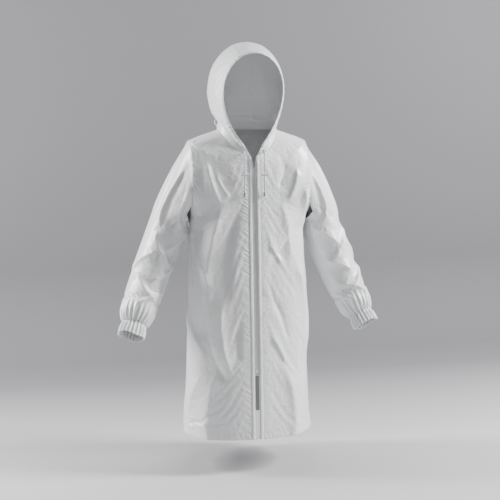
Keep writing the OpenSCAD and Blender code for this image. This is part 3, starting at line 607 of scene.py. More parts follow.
def spare_sleeve(grid):
    shares = np.linspace(0, 1, len(grid))
    down = np.interp(shares, [0, 0.08, 0.3, 0.8, 0.92, 1], [0.005, 0.03, 0.045, 0.055, 0.03, 0.0])
    return np.broadcast_to(down[:, None], grid.shape[:2])


def spare_hood(grid):
    f = np.linspace(0, 1, len(grid))[:, None]
    q = np.linspace(0, 1, grid.shape[1])[None, :]
    return 0.030 * np.sin(math.pi * f) ** 0.6 * np.sin(math.pi * q) ** 0.5


# %% How firmly each point is held
def edge_hold(count, reach, low, high=1.0):
    """1 at the first line of points, falling to low over reach lines."""
    return mix(high, low, smooth(np.arange(count) / reach))


SOFT_BODY, SOFT_SLEEVE, SOFT_HOOD = 0.24, 0.20, 0.28


def hold_body(grid, front):
    rows, columns = grid.shape[:2]
    hold = np.full((rows, columns), SOFT_BODY)
    hold = np.maximum(hold, edge_hold(rows, 10, SOFT_BODY)[::-1, None])
    if front:
        hold = np.maximum(hold, edge_hold(columns, 7, SOFT_BODY, 0.97)[None, :])
    hold = np.maximum(hold, edge_hold(rows, 6, SOFT_BODY, 0.62)[:, None])
    return hold


def hold_sleeve(grid):
    rows = len(grid)
    hold = np.maximum(edge_hold(rows, 8, SOFT_SLEEVE, 0.7), edge_hold(rows, 9, SOFT_SLEEVE)[::-1])
    return np.broadcast_to(hold[:, None], grid.shape[:2])


def hold_hood(grid):
    rows, columns = grid.shape[:2]
    across = np.maximum(edge_hold(columns, 5, SOFT_HOOD), edge_hold(columns, 5, SOFT_HOOD)[::-1])
    down = np.maximum(edge_hold(rows, 5, SOFT_HOOD, 0.95), edge_hold(rows, 4, SOFT_HOOD, 0.8)[::-1])
    return np.maximum(across[None, :], down[:, None])


# %% Broad folds, laid in one by one
# x and z of a fold's two ends in metres, its half width and its height: the drag lines that a hanging coat
# has from its shoulders and armholes, and the long soft folds of its skirt.
FRONT_FOLDS = {
    "right": [
        (0.150, -0.095, 0.105, -0.250, 0.016, 0.0060), (0.125, -0.140, 0.075, -0.230, 0.012, 0.0050),
        (0.165, -0.130, 0.150, -0.300, 0.014, -0.0050), (0.095, -0.230, 0.150, -0.620, 0.030, 0.0110),
        (0.060, -0.270, 0.085, -0.560, 0.020, -0.0060), (0.185, -0.300, 0.140, -0.520, 0.016, 0.0080),
        (0.205, -0.420, 0.165, -0.760, 0.014, 0.0090), (0.110, -0.560, 0.085, -0.800, 0.020, 0.0070),
        (0.165, -0.620, 0.095, -0.840, 0.022, -0.0070), (0.060, -0.640, 0.045, -0.760, 0.016, -0.0050),
        (0.130, -0.780, 0.150, -1.110, 0.030, 0.0080), (0.185, -0.820, 0.195, -1.110, 0.016, 0.0070)],
    "left": [
        (0.150, -0.130, 0.115, -0.240, 0.014, 0.0065), (0.110, -0.110, 0.080, -0.200, 0.013, -0.0040),
        (0.175, -0.190, 0.165, -0.340, 0.014, 0.0070), (0.090, -0.240, 0.120, -0.460, 0.026, 0.0060),
        (0.150, -0.300, 0.060, -0.430, 0.015, -0.0050), (0.045, -0.380, 0.090, -0.450, 0.010, 0.0050),
        (0.140, -0.420, 0.175, -0.780, 0.026, 0.0100), (0.060, -0.560, 0.110, -0.700, 0.016, -0.0055),
        (0.050, -0.680, 0.100, -0.780, 0.012, 0.0045), (0.100, -0.780, 0.120, -1.110, 0.030, 0.0090),
        (0.190, -0.600, 0.200, -1.100, 0.018, 0.0080)]}
BACK_FOLDS = [
    (0.020, -0.180, 0.045, -1.100, 0.030, 0.0130), (-0.060, -0.300, -0.080, -1.100, 0.026, 0.0110),
    (0.110, -0.340, 0.130, -1.110, 0.028, 0.0120), (-0.140, -0.260, -0.150, -1.110, 0.026, 0.0110),
    (0.160, -0.120, 0.060, -0.240, 0.016, 0.0060), (-0.160, -0.120, -0.070, -0.250, 0.016, 0.0060),
    (-0.020, -0.420, -0.010, -1.110, 0.020, -0.0060), (0.175, -0.330, 0.180, -0.900, 0.016, 0.0070)]
SLEEVE_FOLDS = [  # share along, turn round it (0 outside, 90 front), share along, turn, half width, height
    (0.02, 60, 0.30, 95, 0.015, 0.0070), (0.04, 20, 0.36, 35, 0.014, 0.0065), (0.10, 120, 0.34, 60, 0.014, -0.0050),
    (0.26, 150, 0.52, 70, 0.017, 0.0090), (0.38, 20, 0.60, 110, 0.017, 0.0085), (0.50, 60, 0.70, -20, 0.016, 0.0080),
    (0.56, 140, 0.74, 60, 0.015, 0.0080), (0.68, 10, 0.86, 100, 0.014, 0.0075), (0.78, 120, 0.92, 40, 0.012, 0.0060),
    (0.30, 200, 0.56, 280, 0.017, 0.0085), (0.55, 300, 0.80, 210, 0.016, 0.0085), (0.05, 230, 0.30, 270, 0.015, 0.0060)]


def fold_height(across, down, folds):
    """Ridges with a rounded crest and long tapering ends, on any two coordinates in metres."""
    height = np.zeros_like(across)
    for x0, z0, x1, z1, half_width, tall in folds:
        run = np.array([x1 - x0, z1 - z0])
        length = np.linalg.norm(run)
        t = ((across - x0) * run[0] + (down - z0) * run[1]) / length ** 2
        bow = 0.06 * length * np.sin(math.pi * np.clip(t, 0, 1))
        off = ((across - x0) * run[1] - (down - z0) * run[0]) / length + bow
        ends = np.clip(np.minimum(t, 1 - t) * 4 + 0.25, 0, 1) ** 1.5
        steep = off / half_width * np.where(off > 0, 1.7, 0.7)
        crest = np.exp(0.2 - np.sqrt(steep ** 2 + 0.04)) - 0.2 * np.exp(-(off / (2.6 * half_width)) ** 2)
        height += 1.5 * tall * ends * crest
    return height


def grid_normals(grid, closed=False):
    along = np.gradient(grid, axis=0)
    around = np.gradient(grid, axis=1)
    if closed:
        around = (np.roll(grid, -1, axis=1) - np.roll(grid, 1, axis=1)) / 2
    normal = np.cross(around, along)
    return normal / np.maximum(np.linalg.norm(normal, axis=-1, keepdims=True), 1e-9)


def lay_front_folds(grid, side):
    spread_x = grid[..., 0]
    height = fold_height(spread_x, grid[..., 2], FRONT_FOLDS[side])
    calm = smooth((spread_x - 0.03) / 0.03) * smooth((-0.02 - grid[..., 2]) / 0.08)
    return grid + grid_normals(grid) * (height * calm)[..., None]


def lay_back_folds(grid):
    height = fold_height(grid[..., 0], grid[..., 2], BACK_FOLDS)
    calm = smooth((0.205 - np.abs(grid[..., 0])) / 0.02) * smooth((-0.03 - grid[..., 2]) / 0.08)
    return grid + grid_normals(grid) * (height * calm)[..., None]


def lay_sleeve_folds(grid, turn):
    shares = np.linspace(0, 1, len(grid))[:, None] * np.ones(grid.shape[1])
    angles = np.linspace(0, 360, grid.shape[1], endpoint=False)
    radius = np.interp(shares, *SLEEVE_RADII)
    height = np.zeros(grid.shape[:2])
    arm_length = 0.52
    for s0, a0, s1, a1, half_width, tall in SLEEVE_FOLDS:
        middle = (a0 + a1) / 2 + turn
        near = (angles - middle + 180) % 360 - 180
        across = np.radians(near)[None, :] * radius
        r0 = np.interp((s0 + s1) / 2, *SLEEVE_RADII)
        ends = [math.radians(a + turn - middle) * r0 for a in (a0, a1)]
        height += fold_height(across, shares * arm_length, [(ends[0], s0 * arm_length, ends[1], s1 * arm_length,
                                                             half_width, tall)])
    calm = smooth(shares / 0.06) * smooth((1 - shares) / 0.08)
    return grid + grid_normals(grid, True) * (height * calm)[..., None]


# %% Gathers where the elastic holds the wrist
def gather(grid):
    shares = np.linspace(0, 1, len(grid))[:, None]
    angles = np.arange(grid.shape[1])[None, :] * 2 * math.pi / grid.shape[1]
    deep = np.interp(shares, [0, 0.84, 0.93, 1], [0, 0, 0.0016, 0.0026])
    wave = np.cos(PLEATS * angles) + 0.5 * np.cos(9 * angles + 1.1) * (shares < 0.97)
    return grid + grid_normals(grid, True) * (deep * wave)[..., None]


def outward(grid, closed=False):
    """Whether the grid's normals point outwards, away from its middle."""
    middle = grid.mean(axis=(0, 1)) if not closed else grid.mean(axis=1, keepdims=True)
    facing = ((grid - middle) * grid_normals(grid, closed)).sum()
    return facing > 0


for label, grid, closed in (("front", front_grid, False), ("back", back_grid, False), ("sleeve", sleeve_grid, True),
                            ("hood", hood_grid, False), ("band", band_grid, False)):
    print(label, "faces outwards:", bool(outward(grid, closed)))

# %% [markdown]
# ## One skin, one simulation
# All the grids go into a single mesh. Points that two grids share are welded, so the folds run on across
# the seams. The simulation runs for a few dozen frames, its result is read back into the same grids, and
# the simulated mesh is removed, so no Cloth modifier is left behind.

# %% Weld the grids
hood_grid = hood_grid[:, ::-1]


def mirrored(grid):
    """The other side's grid, with its columns turned round so that it still faces outwards."""
    return (grid * MIRROR)[:, ::-1]


def mirrored_ring(ring):
    return np.roll((ring * MIRROR)[:, ::-1], 1, axis=1)


plain = {
    "front_left": lay_front_folds(front_grid, "left"),
    "front_right": mirrored(lay_front_folds(front_grid, "right")),
    "back": lay_back_folds(back_grid),
    "sleeve_left": gather(lay_sleeve_folds(sleeve_grid, 0)),
    "sleeve_right": mirrored_ring(gather(lay_sleeve_folds(sleeve_grid, 24))),
    "band": band_grid,
    "hood": hood_grid}
hold = {
    "front_left": hold_body(front_grid, True), "front_right": hold_body(front_grid, True)[:, ::-1],
    "back": hold_body(back_grid, False), "band": np.ones(band_grid.shape[:2]), "hood": hold_hood(hood_grid),
    "sleeve_left": hold_sleeve(sleeve_grid), "sleeve_right": hold_sleeve(sleeve_grid)}


def weld(grids):
    """Every grid's point numbers in one shared list of points."""
    numbers, seen, count = {}, {}, 0
    for name, grid in grids.items():
        keys = np.round(grid.reshape(-1, 3), 5).tolist()
        index = np.empty(len(keys), int)
        for n, key in enumerate(map(tuple, keys)):
            if name == "hood":
                key = (*key, "hood")
            if key not in seen:
                seen[key] = count
                count += 1
            index[n] = seen[key]
        numbers[name] = index.reshape(grid.shape[:2])
    return numbers, count


spare_cloth = {
    "front_left": spare_body(front_grid), "front_right": spare_body(front_grid), "back": spare_body(back_grid),
    "band": np.zeros(band_grid.shape[:2]), "hood": spare_hood(hood_grid),
    "sleeve_left": spare_sleeve(sleeve_grid), "sleeve_right": spare_sleeve(sleeve_grid)}
numbers, point_count = weld({"front_left": front_grid, "front_right": mirrored(front_grid), "back": back_grid,
                             "sleeve_left": sleeve_grid, "sleeve_right": mirrored_ring(sleeve_grid),
                             "band": band_grid, "hood": hood_grid})


def gathered(values, size, reducer):
    """One value for each shared point, from the grids' own values."""
    out = np.full((point_count, size), -np.inf if reducer is np.maximum else 0.0)
    if reducer is np.maximum:
        for name, index in numbers.items():
            np.maximum.at(out, index.ravel(), np.asarray(values[name]).reshape(-1, size))
        return out
    share = np.zeros((point_count, 1))
    for name, index in numbers.items():
        np.add.at(out, index.ravel(), np.asarray(values[name]).reshape(-1, size))
        np.add.at(share, index.ravel(), 1.0)
    return out / share


def quads(index, closed):
    right = np.roll(index, -1, axis=1) if closed else index[:, 1:]
    left = index if closed else index[:, :-1]
    return np.stack([left[:-1], right[:-1], right[1:], left[1:]], axis=-1).reshape(-1, 4)


start_points = gathered(plain, 3, np.add)
spare_values = gathered(spare_cloth, 1, np.add).ravel()
hold_values = gathered(hold, 1, np.maximum).ravel()
skin_faces = np.concatenate([quads(index, name.startswith("sleeve")) for name, index in numbers.items()])
print("skin:", point_count, "points,", len(skin_faces), "faces, welded",
      sum(i.size for i in numbers.values()) - point_count)


# %% Run the simulation
SIM_FRAMES, BEND = 24, 2.0


def weight_group(skin, name, values):
    group = skin.vertex_groups.new(name=name)
    rounded = np.round(values, 2)
    for value in np.unique(rounded):
        group.add(np.nonzero(rounded == value)[0].tolist(), float(value), "REPLACE")
    return group


def crumple_skin():
    mesh = bpy.data.meshes.new("skin")
    mesh.from_pydata(start_points.tolist(), [], skin_faces.tolist())
    skin = bpy.data.objects.new("skin", mesh)
    bpy.context.scene.collection.objects.link(skin)
    group = weight_group(skin, "hold", hold_values)
    spare = weight_group(skin, "spare", spare_values / MOST_SPARE)
    cloth = skin.modifiers.new("cloth", "CLOTH")
    settings = cloth.settings
    settings.quality = 5
    settings.mass = 0.3
    settings.air_damping = 1.0
    settings.tension_stiffness = settings.compression_stiffness = 15.0
    settings.shear_stiffness = 7.5
    settings.bending_stiffness = BEND
    settings.tension_damping = settings.compression_damping = settings.shear_damping = 5.0
    settings.bending_damping = 0.5
    settings.vertex_group_mass = group.name
    settings.pin_stiffness = 1.0
    settings.vertex_group_shrink = spare.name
    settings.shrink_min = 0.0
    settings.shrink_max = -MOST_SPARE
    settings.effector_weights.gravity = 0.4
    cloth.collision_settings.use_collision = False
    cloth.point_cache.frame_start = 1
    cloth.point_cache.frame_end = SIM_FRAMES
    scene = bpy.context.scene
    for number in range(1, SIM_FRAMES + 1):
        scene.frame_set(number)
    depsgraph = bpy.context.evaluated_depsgraph_get()
    solved = skin.evaluated_get(depsgraph)
    points = np.empty(point_count * 3)
    solved.data.vertices.foreach_get("co", points)
    bpy.data.objects.remove(skin)
    bpy.data.meshes.remove(mesh)
    scene.frame_set(1)
    return points.reshape(-1, 3)


clock = time.time()
skin_points = crumple_skin()
moved = np.linalg.norm(skin_points - start_points, axis=1)
MOST_MOVE = 0.022
calm_share = np.minimum(1.0, MOST_MOVE / np.maximum(moved, 1e-9))[:, None]
skin_points = start_points + (skin_points - start_points) * calm_share
print("simulated in", round(time.time() - clock, 1), "s, moved up to", round(float(moved.max()), 4),
      "mean", round(float(moved.mean()), 5))


# %% [markdown]
# ## Finer cloth from the simulated grids
# Stitching puckers are much finer than the simulation's grid. A smooth curve through the grid's points
# gives more points between them without losing a fold, and the puckers, stitch lines and hem steps are
# then pressed into the finer grid along its normals.

# %% Refine a grid
def refine_rows(grid, factor):
    """Catmull-Rom curves down the rows, with factor times as many spans."""
    padded = np.concatenate([2 * grid[:1] - grid[1:2], grid, 2 * grid[-1:] - grid[-2:-1]])
    p0, p1, p2, p3 = padded[:-3], padded[1:-2], padded[2:-1], padded[3:]
    parts = []
    for t in np.arange(factor) / factor:
        parts.append(0.5 * (2 * p1 + (p2 - p0) * t + (2 * p0 - 5 * p1 + 4 * p2 - p3) * t * t
                            + (3 * p1 - p0 - 3 * p2 + p3) * t ** 3))
    fine = np.stack(parts, axis=1).reshape(-1, *grid.shape[1:])
    return np.concatenate([fine, grid[-1:]])


def refine(grid, rows, columns, closed=False):
    fine = refine_rows(grid, rows) if rows > 1 else grid
    if columns == 1:
        return fine
    turned = fine.swapaxes(0, 1)
    if closed:
        ringed = np.concatenate([turned[-1:], turned, turned[:2]])
        return refine_rows(ringed, columns)[columns:-columns - 1].swapaxes(0, 1)
    return refine_rows(turned, columns).swapaxes(0, 1)


# %% From a grid to a piece
def flat_lengths(grid, closed=False):
    """Each point's place on the cloth in metres, measured along its row and its column."""
    around = np.linalg.norm(np.diff(grid, axis=1), axis=2)
    across = np.concatenate([np.zeros((len(grid), 1)), np.cumsum(around, axis=1)], axis=1)
    across -= across[:, -1:] / 2
    down = np.linalg.norm(np.diff(grid, axis=0), axis=2).mean(axis=1)
    along = np.broadcast_to(np.concatenate([[0], np.cumsum(down)])[:, None], grid.shape[:2])
    return np.stack([across, along], axis=-1)


def piece_from_grid(name, grid, closed=False, material=None, thickness=0.0012, smooth_angle=None, offset=-1.0):
    uv = flat_lengths(np.concatenate([grid, grid[:, :1]], axis=1) if closed else grid)
    index = np.arange(grid.shape[0] * grid.shape[1]).reshape(grid.shape[:2])
    faces = quads(index, closed)
    mesh = bpy.data.meshes.new(name)
    mesh.from_pydata(grid.reshape(-1, 3).tolist(), [], faces.tolist())
    layer = mesh.uv_layers.new(name="cloth")
    cell = np.arange(uv.shape[0] * uv.shape[1]).reshape(uv.shape[:2])
    corners = quads(cell, False)
    layer.data.foreach_set("uv", uv.reshape(-1, 2)[corners.ravel()].ravel())
    mesh.polygons.foreach_set("use_smooth", np.ones(len(faces), bool))
    mesh.materials.append(material or coat_cloth)
    mesh.update()
    piece = bpy.data.objects.new(name, mesh)
    bpy.context.scene.collection.objects.link(piece)
    if thickness:
        wall = piece.modifiers.new("wall", "SOLIDIFY")
        wall.thickness = thickness
        wall.offset = offset
        wall.use_even_offset = False
        wall.use_rim = True
    return piece


solved = {name: skin_points[index] for name, index in numbers.items()}

# %% [markdown]
# ## Puckers
# A seam's thread is tighter than the cloth beside it, so the cloth ripples along the seam. The ripples are
# a wave along the seam whose spacing wanders a little, and they fade out a finger's width from the thread.
# They are pressed into the fine grid, so they are real shape and cast real shadows.

# %% Waves along a seam
def wandering_wave(along, pitch, seed):
    """A wave of about this pitch, whose spacing and height wander. Any coordinate in metres."""
    rng = np.random.default_rng(seed)
    knots = np.arange(-1.4, 1.4, pitch)
    phase = np.cumsum(1 + 0.28 * rng.standard_normal(len(knots))) * 2 * math.pi
    height = 0.55 + 0.45 * rng.random(len(knots))
    return np.sin(np.interp(along, knots, phase)) * np.interp(along, knots, height)


def pucker(away, along, centre, reach, height, pitch, slant, seed):
    """Ripples along the line away = centre, fading over reach and leaning by slant."""
    fade = np.exp(-((away - centre) / reach) ** 2)
    return height * fade * wandering_wave(along + slant * away, pitch, seed)


def stitch_valley(away, centre, depth=0.0006, width=0.0018):
    return -depth * np.exp(-((away - centre) / width) ** 2)


def press(grid, height, closed=False):
    return grid + grid_normals(grid, closed) * height[..., None]


def along_row(grid):
    steps = np.linalg.norm(np.diff(grid, axis=1), axis=2)
    return np.concatenate([np.zeros((len(grid), 1)), np.cumsum(steps, axis=1)], axis=1)


def along_column(grid):
    return along_row(grid.swapaxes(0, 1)).swapaxes(0, 1)


# %% [markdown]
# ## The panels of the body
# Each front is one panel from the zip to the side seam and the back is one more. Their long edges carry
# the puckers of the zip's stitching, and the hem is folded up inside and stitched. The pieces are the
# simulated grids with a wall, so every fold of the simulation stays in them.

# %% Cut the body's panels
STITCH_FROM_EDGE, HEM_STITCH = 0.0125, 0.021


def cut_front(side):
    grid = solved["front_left"] if side == "left" else solved["front_right"][:, ::-1]
    fine = refine(grid, 4, 2)
    away, up, z = along_row(fine), along_column(fine), fine[..., 2]
    strength = 0.0011 if side == "right" else 0.0008
    height = pucker(away, z, 0.019, 0.0085, strength, 0.0115, -0.75, 11 if side == "right" else 12)
    height += pucker(away, z, 0.030, 0.0200, strength * 0.35, 0.0310, -0.6, 15 if side == "right" else 16)
    height += stitch_valley(away, STITCH_FROM_EDGE)
    height += pucker(up, fine[..., 0], 0.012, 0.014, 0.0007, 0.0170, 0.4, 21) + stitch_valley(up, HEM_STITCH)
    height += pucker(away[:, -1:] - away, z, 0.004, 0.010, 0.0009, 0.0160, 0.5, 25)
    neck = up[-1:] - up
    height += pucker(neck, away, 0.004, 0.008, 0.0005, 0.0130, 0.3, 27)
    sign = 1.0 if side == "left" else -1.0
    fine = fine + sign * grid_normals(fine) * height[..., None]
    return fine if side == "left" else fine[:, ::-1]


def cut_back():
    fine = refine(solved["back"], 2, 2)
    away, up, z = along_row(fine), along_column(fine), fine[..., 2]
    height = pucker(up, fine[..., 0], 0.012, 0.014, 0.0007, 0.0200, 0.4, 31) + stitch_valley(up, HEM_STITCH)
    for edge in (away, away[:, -1:] - away):
        height += pucker(edge, z, 0.004, 0.010, 0.0008, 0.0200, 0.5, 32)
    return press(fine, height)


fine = {"front_left": cut_front("left"), "front_right": cut_front("right"), "back": cut_back()}


def flat_cut(grid, spare):
    """The size a panel was cut to: its widest row, its longest column and its area, with the spare cloth."""
    width = float(along_row(grid)[:, -1].max()) * (1 + spare)
    length = float(along_column(grid)[-1].max()) * (1 + spare)
    a, b = grid[1:, :-1] - grid[:-1, :-1], grid[:-1, 1:] - grid[:-1, :-1]
    area = float(np.linalg.norm(np.cross(a, b), axis=2).sum()) * (1 + spare) ** 2
    return (round(width, 3), round(length, 3)), round(min(area, 0.999 * width * length), 4)


cuts = []


def declare_cloth(piece, plain_grid, spare):
    flat, area = flat_cut(plain_grid, spare)
    area = float(np.clip(area, 0.301 * flat[0] * flat[1], 0.999 * flat[0] * flat[1]))
    cuts.append((piece.name, flat, area))


for side in SIDES:
    panel = piece_from_grid(f"front_{side}", fine[f"front_{side}"])
    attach(panel, "coat")
    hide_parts(f"front_panel_{side}")
    declare_cloth(panel, front_grid, 0.025)
back_piece = piece_from_grid("back", fine["back"])
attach(back_piece, "coat")
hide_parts("back_panel")
declare_cloth(back_piece, back_grid, 0.025)
print("panels:", [(n, f, a) for n, f, a in cuts])

# %% [markdown]
# ## Strips that lie on the panels
# The hem's fold, the folds beside the zip, the side seams' tapes, the pockets' welts and bags all lie on a
# panel, outside or inside it. Each is a patch of that panel's own grid, moved along its normals, so it
# keeps to every fold of the cloth under it.

# %% Patches of a panel's grid
def patch(name, grid, rows, columns, depth, body="coat", replaced=(), material=None, thickness=0.0006):
    part = (grid + grid_normals(grid) * depth)[rows, columns]
    piece = piece_from_grid(name, part, material=material, thickness=thickness)
    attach(piece, body)
    if replaced:
        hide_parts(*replaced)
    declare_cloth(piece, part, 0.0)
    return piece


def row_above(grid, height):
    """How many rows up from the hem this height is."""
    return int(np.argmax(along_column(grid)[:, grid.shape[1] // 2] > height))


for side in SIDES:
    grid = fine[f"front_{side}"]
    from_edge = along_row(grid if side == "left" else grid[:, ::-1])[60]
    fold = int(np.argmax(from_edge > 0.0068)) + 1
    edge = slice(0, fold) if side == "left" else slice(-fold, None)
    patch(f"hem_fold_{side}", grid, slice(0, row_above(grid, 0.022)), slice(None), -0.0016, replaced=[f"hem_{side}"])
    patch(f"zip_fold_{side}", grid, slice(0, -16), edge, 0.0009, replaced=[f"front_fold_{side}"])
    top, bottom = [int(np.argmin(np.abs(grid[:, -1 if side == "left" else 0, 2] - z))) for z in (-0.37, -0.52)]
    wide = slice(-12, -3) if side == "left" else slice(3, 12)
    patch(f"pocket_welt_piece_{side}", grid, slice(bottom, top), wide, 0.0012, replaced=[f"pocket_welt_{side}"],
          thickness=0.0010)
    low = int(np.argmin(np.abs(grid[:, -1 if side == "left" else 0, 2] + 0.61)))
    bag = slice(-34, -3) if side == "left" else slice(3, 34)
    patch(f"pocket_bag_piece_{side}", grid, slice(low, top), bag, -0.0060, replaced=[f"pocket_bag_{side}"])
    tape = slice(-7, -1) if side == "left" else slice(1, 7)
    seam_top = int(np.argmin(np.abs(grid[:, -1 if side == "left" else 0, 2] + 0.30)))
    patch(f"seam_tape_{side}", grid, slice(row_above(grid, 0.026), seam_top), tape, -0.0022,
          replaced=[f"side_seam_tape_{side}"], material=tape_cloth)
patch("hem_fold_back", fine["back"], slice(0, row_above(fine["back"], 0.022)), slice(None), -0.0016,
      replaced=["hem_back_fold"])

# %% [markdown]
# ## Sleeves and cuffs
# A sleeve is a tube that narrows to the wrist, where elastic gathers it. Below the elastic the cloth
# flares out again in sharp pleats.

# %% Sew in the sleeves
BLEND_FROM = Vector((0.196, 0.0, -0.288))
BLEND_TO = Vector((0.318, 0.0, -0.3365))


def sided(point, sign):
    return (sign * point[0], point[1], point[2])


def cut_sleeve(side):
    grid = refine(solved[f"sleeve_{side}"], 3, 2, closed=True)
    down = np.linspace(0, 1, len(grid))[:, None] * 0.53 * np.ones(grid.shape[1])
    around = np.arange(grid.shape[1])[None, :] * 0.0035 * np.ones((len(grid), 1))
    height = pucker(down, around, 0.003, 0.009, 0.0009, 0.0135, 0.2, 41 if side == "left" else 42)
    height[0] = -0.0006
    sharp = np.clip((down - 0.47) / 0.06, 0, 1)
    height += sharp * 0.0011 * np.cos(PLEATS * 2 * math.pi * np.arange(grid.shape[1]) / grid.shape[1])[None, :]
    return press(grid, height, True)


for side, sign in SIDES.items():
    grid = cut_sleeve(side)
    fine[f"sleeve_{side}"] = grid
    sleeve = piece_from_grid(f"sleeve_cloth_{side}", grid, closed=True)
    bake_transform(sleeve)
    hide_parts(f"sleeve_{side}")
    declare_cloth(sleeve, np.concatenate([sleeve_grid, sleeve_grid[:, :1]], axis=1), 0.045)


# %% Gather the cuffs
CUFF_LENGTH, CUFF_ROWS, CUFF_COLUMNS = 0.044, 26, PLEATS * 12


def cut_cuff(sign, seed):
    rng = np.random.default_rng(seed)
    along, fore, out = sleeve_axes(1.0)
    angles = np.arange(CUFF_COLUMNS) * 2 * math.pi / CUFF_COLUMNS
    wander = np.interp(angles, np.linspace(0, 2 * math.pi, 9), np.append(w := rng.normal(0, 0.5, 8), w[0]))
    each_pleat = rng.uniform(0.6, 1.25, PLEATS)
    depth = np.interp(angles, np.linspace(0, 2 * math.pi, PLEATS + 1), np.append(each_pleat, each_pleat[0]))
    t = np.linspace(-0.06, 1, CUFF_ROWS)[:, None]
    radius = np.interp(t, [-0.06, 0.05, 0.2, 0.5, 1], [0.0395, 0.0382, 0.0395, 0.0418, 0.0425])
    deep = np.interp(t, [-0.06, 0.05, 0.2, 0.4, 0.75, 1], [0.0018, 0.0028, 0.0030, 0.0034, 0.0036, 0.0026])
    wave = np.cos(PLEATS * angles + wander)[None, :]
    wave = np.sign(wave) * np.abs(wave) ** 0.75
    radius = radius + deep * wave * depth[None, :] - 0.0012 * np.exp(-((t - 0.16) / 0.09) ** 2) * (wave > 0)
    lip = 0.0025 * np.sin(3 * angles + seed)[None, :] * np.clip(t, 0, 1) ** 2
    ring = (WRIST + along * (t * CUFF_LENGTH + lip)[..., None]
            + radius[..., None] * (np.cos(angles)[:, None] * out + np.sin(angles)[:, None] * fore))
    return ring if sign > 0 else mirrored_ring(ring)


for side, sign in SIDES.items():
    grid = cut_cuff(sign, 51 if side == "left" else 53)
    cuff = piece_from_grid(f"cuff_cloth_{side}", grid, closed=True, material=gathered_cloth, thickness=0.0008)
    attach(cuff, f"sleeve_{side}")
    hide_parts(f"cuff_{side}")
    declare_cloth(cuff, np.concatenate([grid, grid[:, :1]], axis=1), 0.02)
print("sleeves and cuffs:", [c for c in cuts if c[0].startswith(("sleeve", "cuff"))])

# %% [markdown]
# ## Neck band, hood and casing
# The two crown seams are puckered like every other seam. The casing is the turned edge of the face
# opening with the drawcord inside it, so it is a flat tube with a slight bulge.

# %% Cut the hood
HOOD_FROM = Vector((0.0, 0.011, -0.0166))
HOOD_TO = HOOD_FROM + Vector((0.0, -0.0556, 0.083))


def with_hood(piece):
    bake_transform(piece)


band = piece_from_grid("neck_band_cloth", refine(solved["band"], 3, 2), thickness=0.0016)
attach(band, "coat")
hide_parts("neck_band")
declare_cloth(band, band_grid, 0.0)

hood_fine = refine(solved["hood"], 3, 3)
hood_away, hood_along = along_row(hood_fine), along_column(hood_fine)
hood_middle = hood_fine.shape[1] // 2
seam_columns = [hood_middle - 3 * CROWN_COLUMNS, hood_middle + 3 * CROWN_COLUMNS]
hood_height = np.zeros(hood_fine.shape[:2])
for n, column in enumerate(seam_columns):
    off = np.abs(hood_away - hood_away[:, column:column + 1])
    hood_height += pucker(off, hood_along, 0.0045, 0.0065, 0.0011, 0.0095, 0.3, 61 + n)
    hood_height += 0.0007 * np.exp(-(off / 0.0030) ** 2) - 0.0010 * np.exp(-(off / 0.0012) ** 2)
for off in (hood_away, hood_away[:, -1:] - hood_away):
    hood_height += pucker(off, hood_along, 0.003, 0.010, 0.0008, 0.0125, 0.4, 65)
hood_height += pucker(hood_along, hood_away, 0.021, 0.008, 0.0009, 0.0100, 0.6, 67)
hood_fine = press(hood_fine, hood_height)
parts = {"hood_cloth_left": (slice(0, seam_columns[0] + 1), ["hood_side_left"]),
         "hood_cloth_crown": (slice(seam_columns[0], seam_columns[1] + 1), ["hood_crown"]),
         "hood_cloth_right": (slice(seam_columns[1], None), ["hood_side_right"])}
if hood_fine[90, 0, 0] < 0:
    parts["hood_cloth_left"], parts["hood_cloth_right"] = (
        (parts["hood_cloth_right"][0], ["hood_side_left"]), (parts["hood_cloth_left"][0], ["hood_side_right"]))
for name, (columns, replaced) in parts.items():
    piece = piece_from_grid(name, hood_fine[:, columns])
    with_hood(piece)
    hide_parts(*replaced)
    declare_cloth(piece, hood_fine[:, columns], 0.0)


# %% Turn the casing
CASING_WIDTH, CASING_HALF_THICK = 0.020, 0.0026


def casing_grid():
    """Rings round the face opening's edge, from one end of the neck band over the forehead to the other."""
    edge = hood_fine[0]
    behind = hood_fine[10]
    line = resample(edge, 330)
    back = resample(behind, 330) - line
    back /= np.linalg.norm(back, axis=1)[:, None]
    run = np.gradient(line, axis=0)
    run /= np.linalg.norm(run, axis=1)[:, None]
    back -= run * (back * run).sum(axis=1)[:, None]
    back /= np.linalg.norm(back, axis=1)[:, None]
    through = np.cross(run, back)
    middle = np.array([0.0, 0.02, 0.09])
    through *= np.sign(((line - middle) * through).sum(axis=1))[:, None]
    along = np.linspace(0, 0.72, len(line))[:, None]
    ends = np.minimum(along, 0.72 - along)
    width = CASING_WIDTH * np.clip(0.5 + ends / 0.14, 0.5, 1.0)
    angles = np.linspace(0, 2 * math.pi, 22, endpoint=False)[None, :]
    across = (0.5 - 0.5 * np.cos(angles)) * width
    rise = CASING_HALF_THICK * np.sin(angles) * (0.75 + 0.5 * np.exp(-((across / width - 0.42) / 0.18) ** 2))
    stitched = np.clip(across / width * 1.5 - 0.45, 0, 1)
    rise = rise * (1 + stitched * 0.55 * wandering_wave(along + 0.3 * across, 0.0095, 71))
    rise += 0.0005 * wandering_wave(along, 0.021, 73)
    across = across + 0.0006 * stitched * wandering_wave(along, 0.0105, 75) - 0.0012
    return (line[:, None, :] + across[..., None] * back[:, None, :]
            + (rise + 0.0004)[..., None] * through[:, None, :])


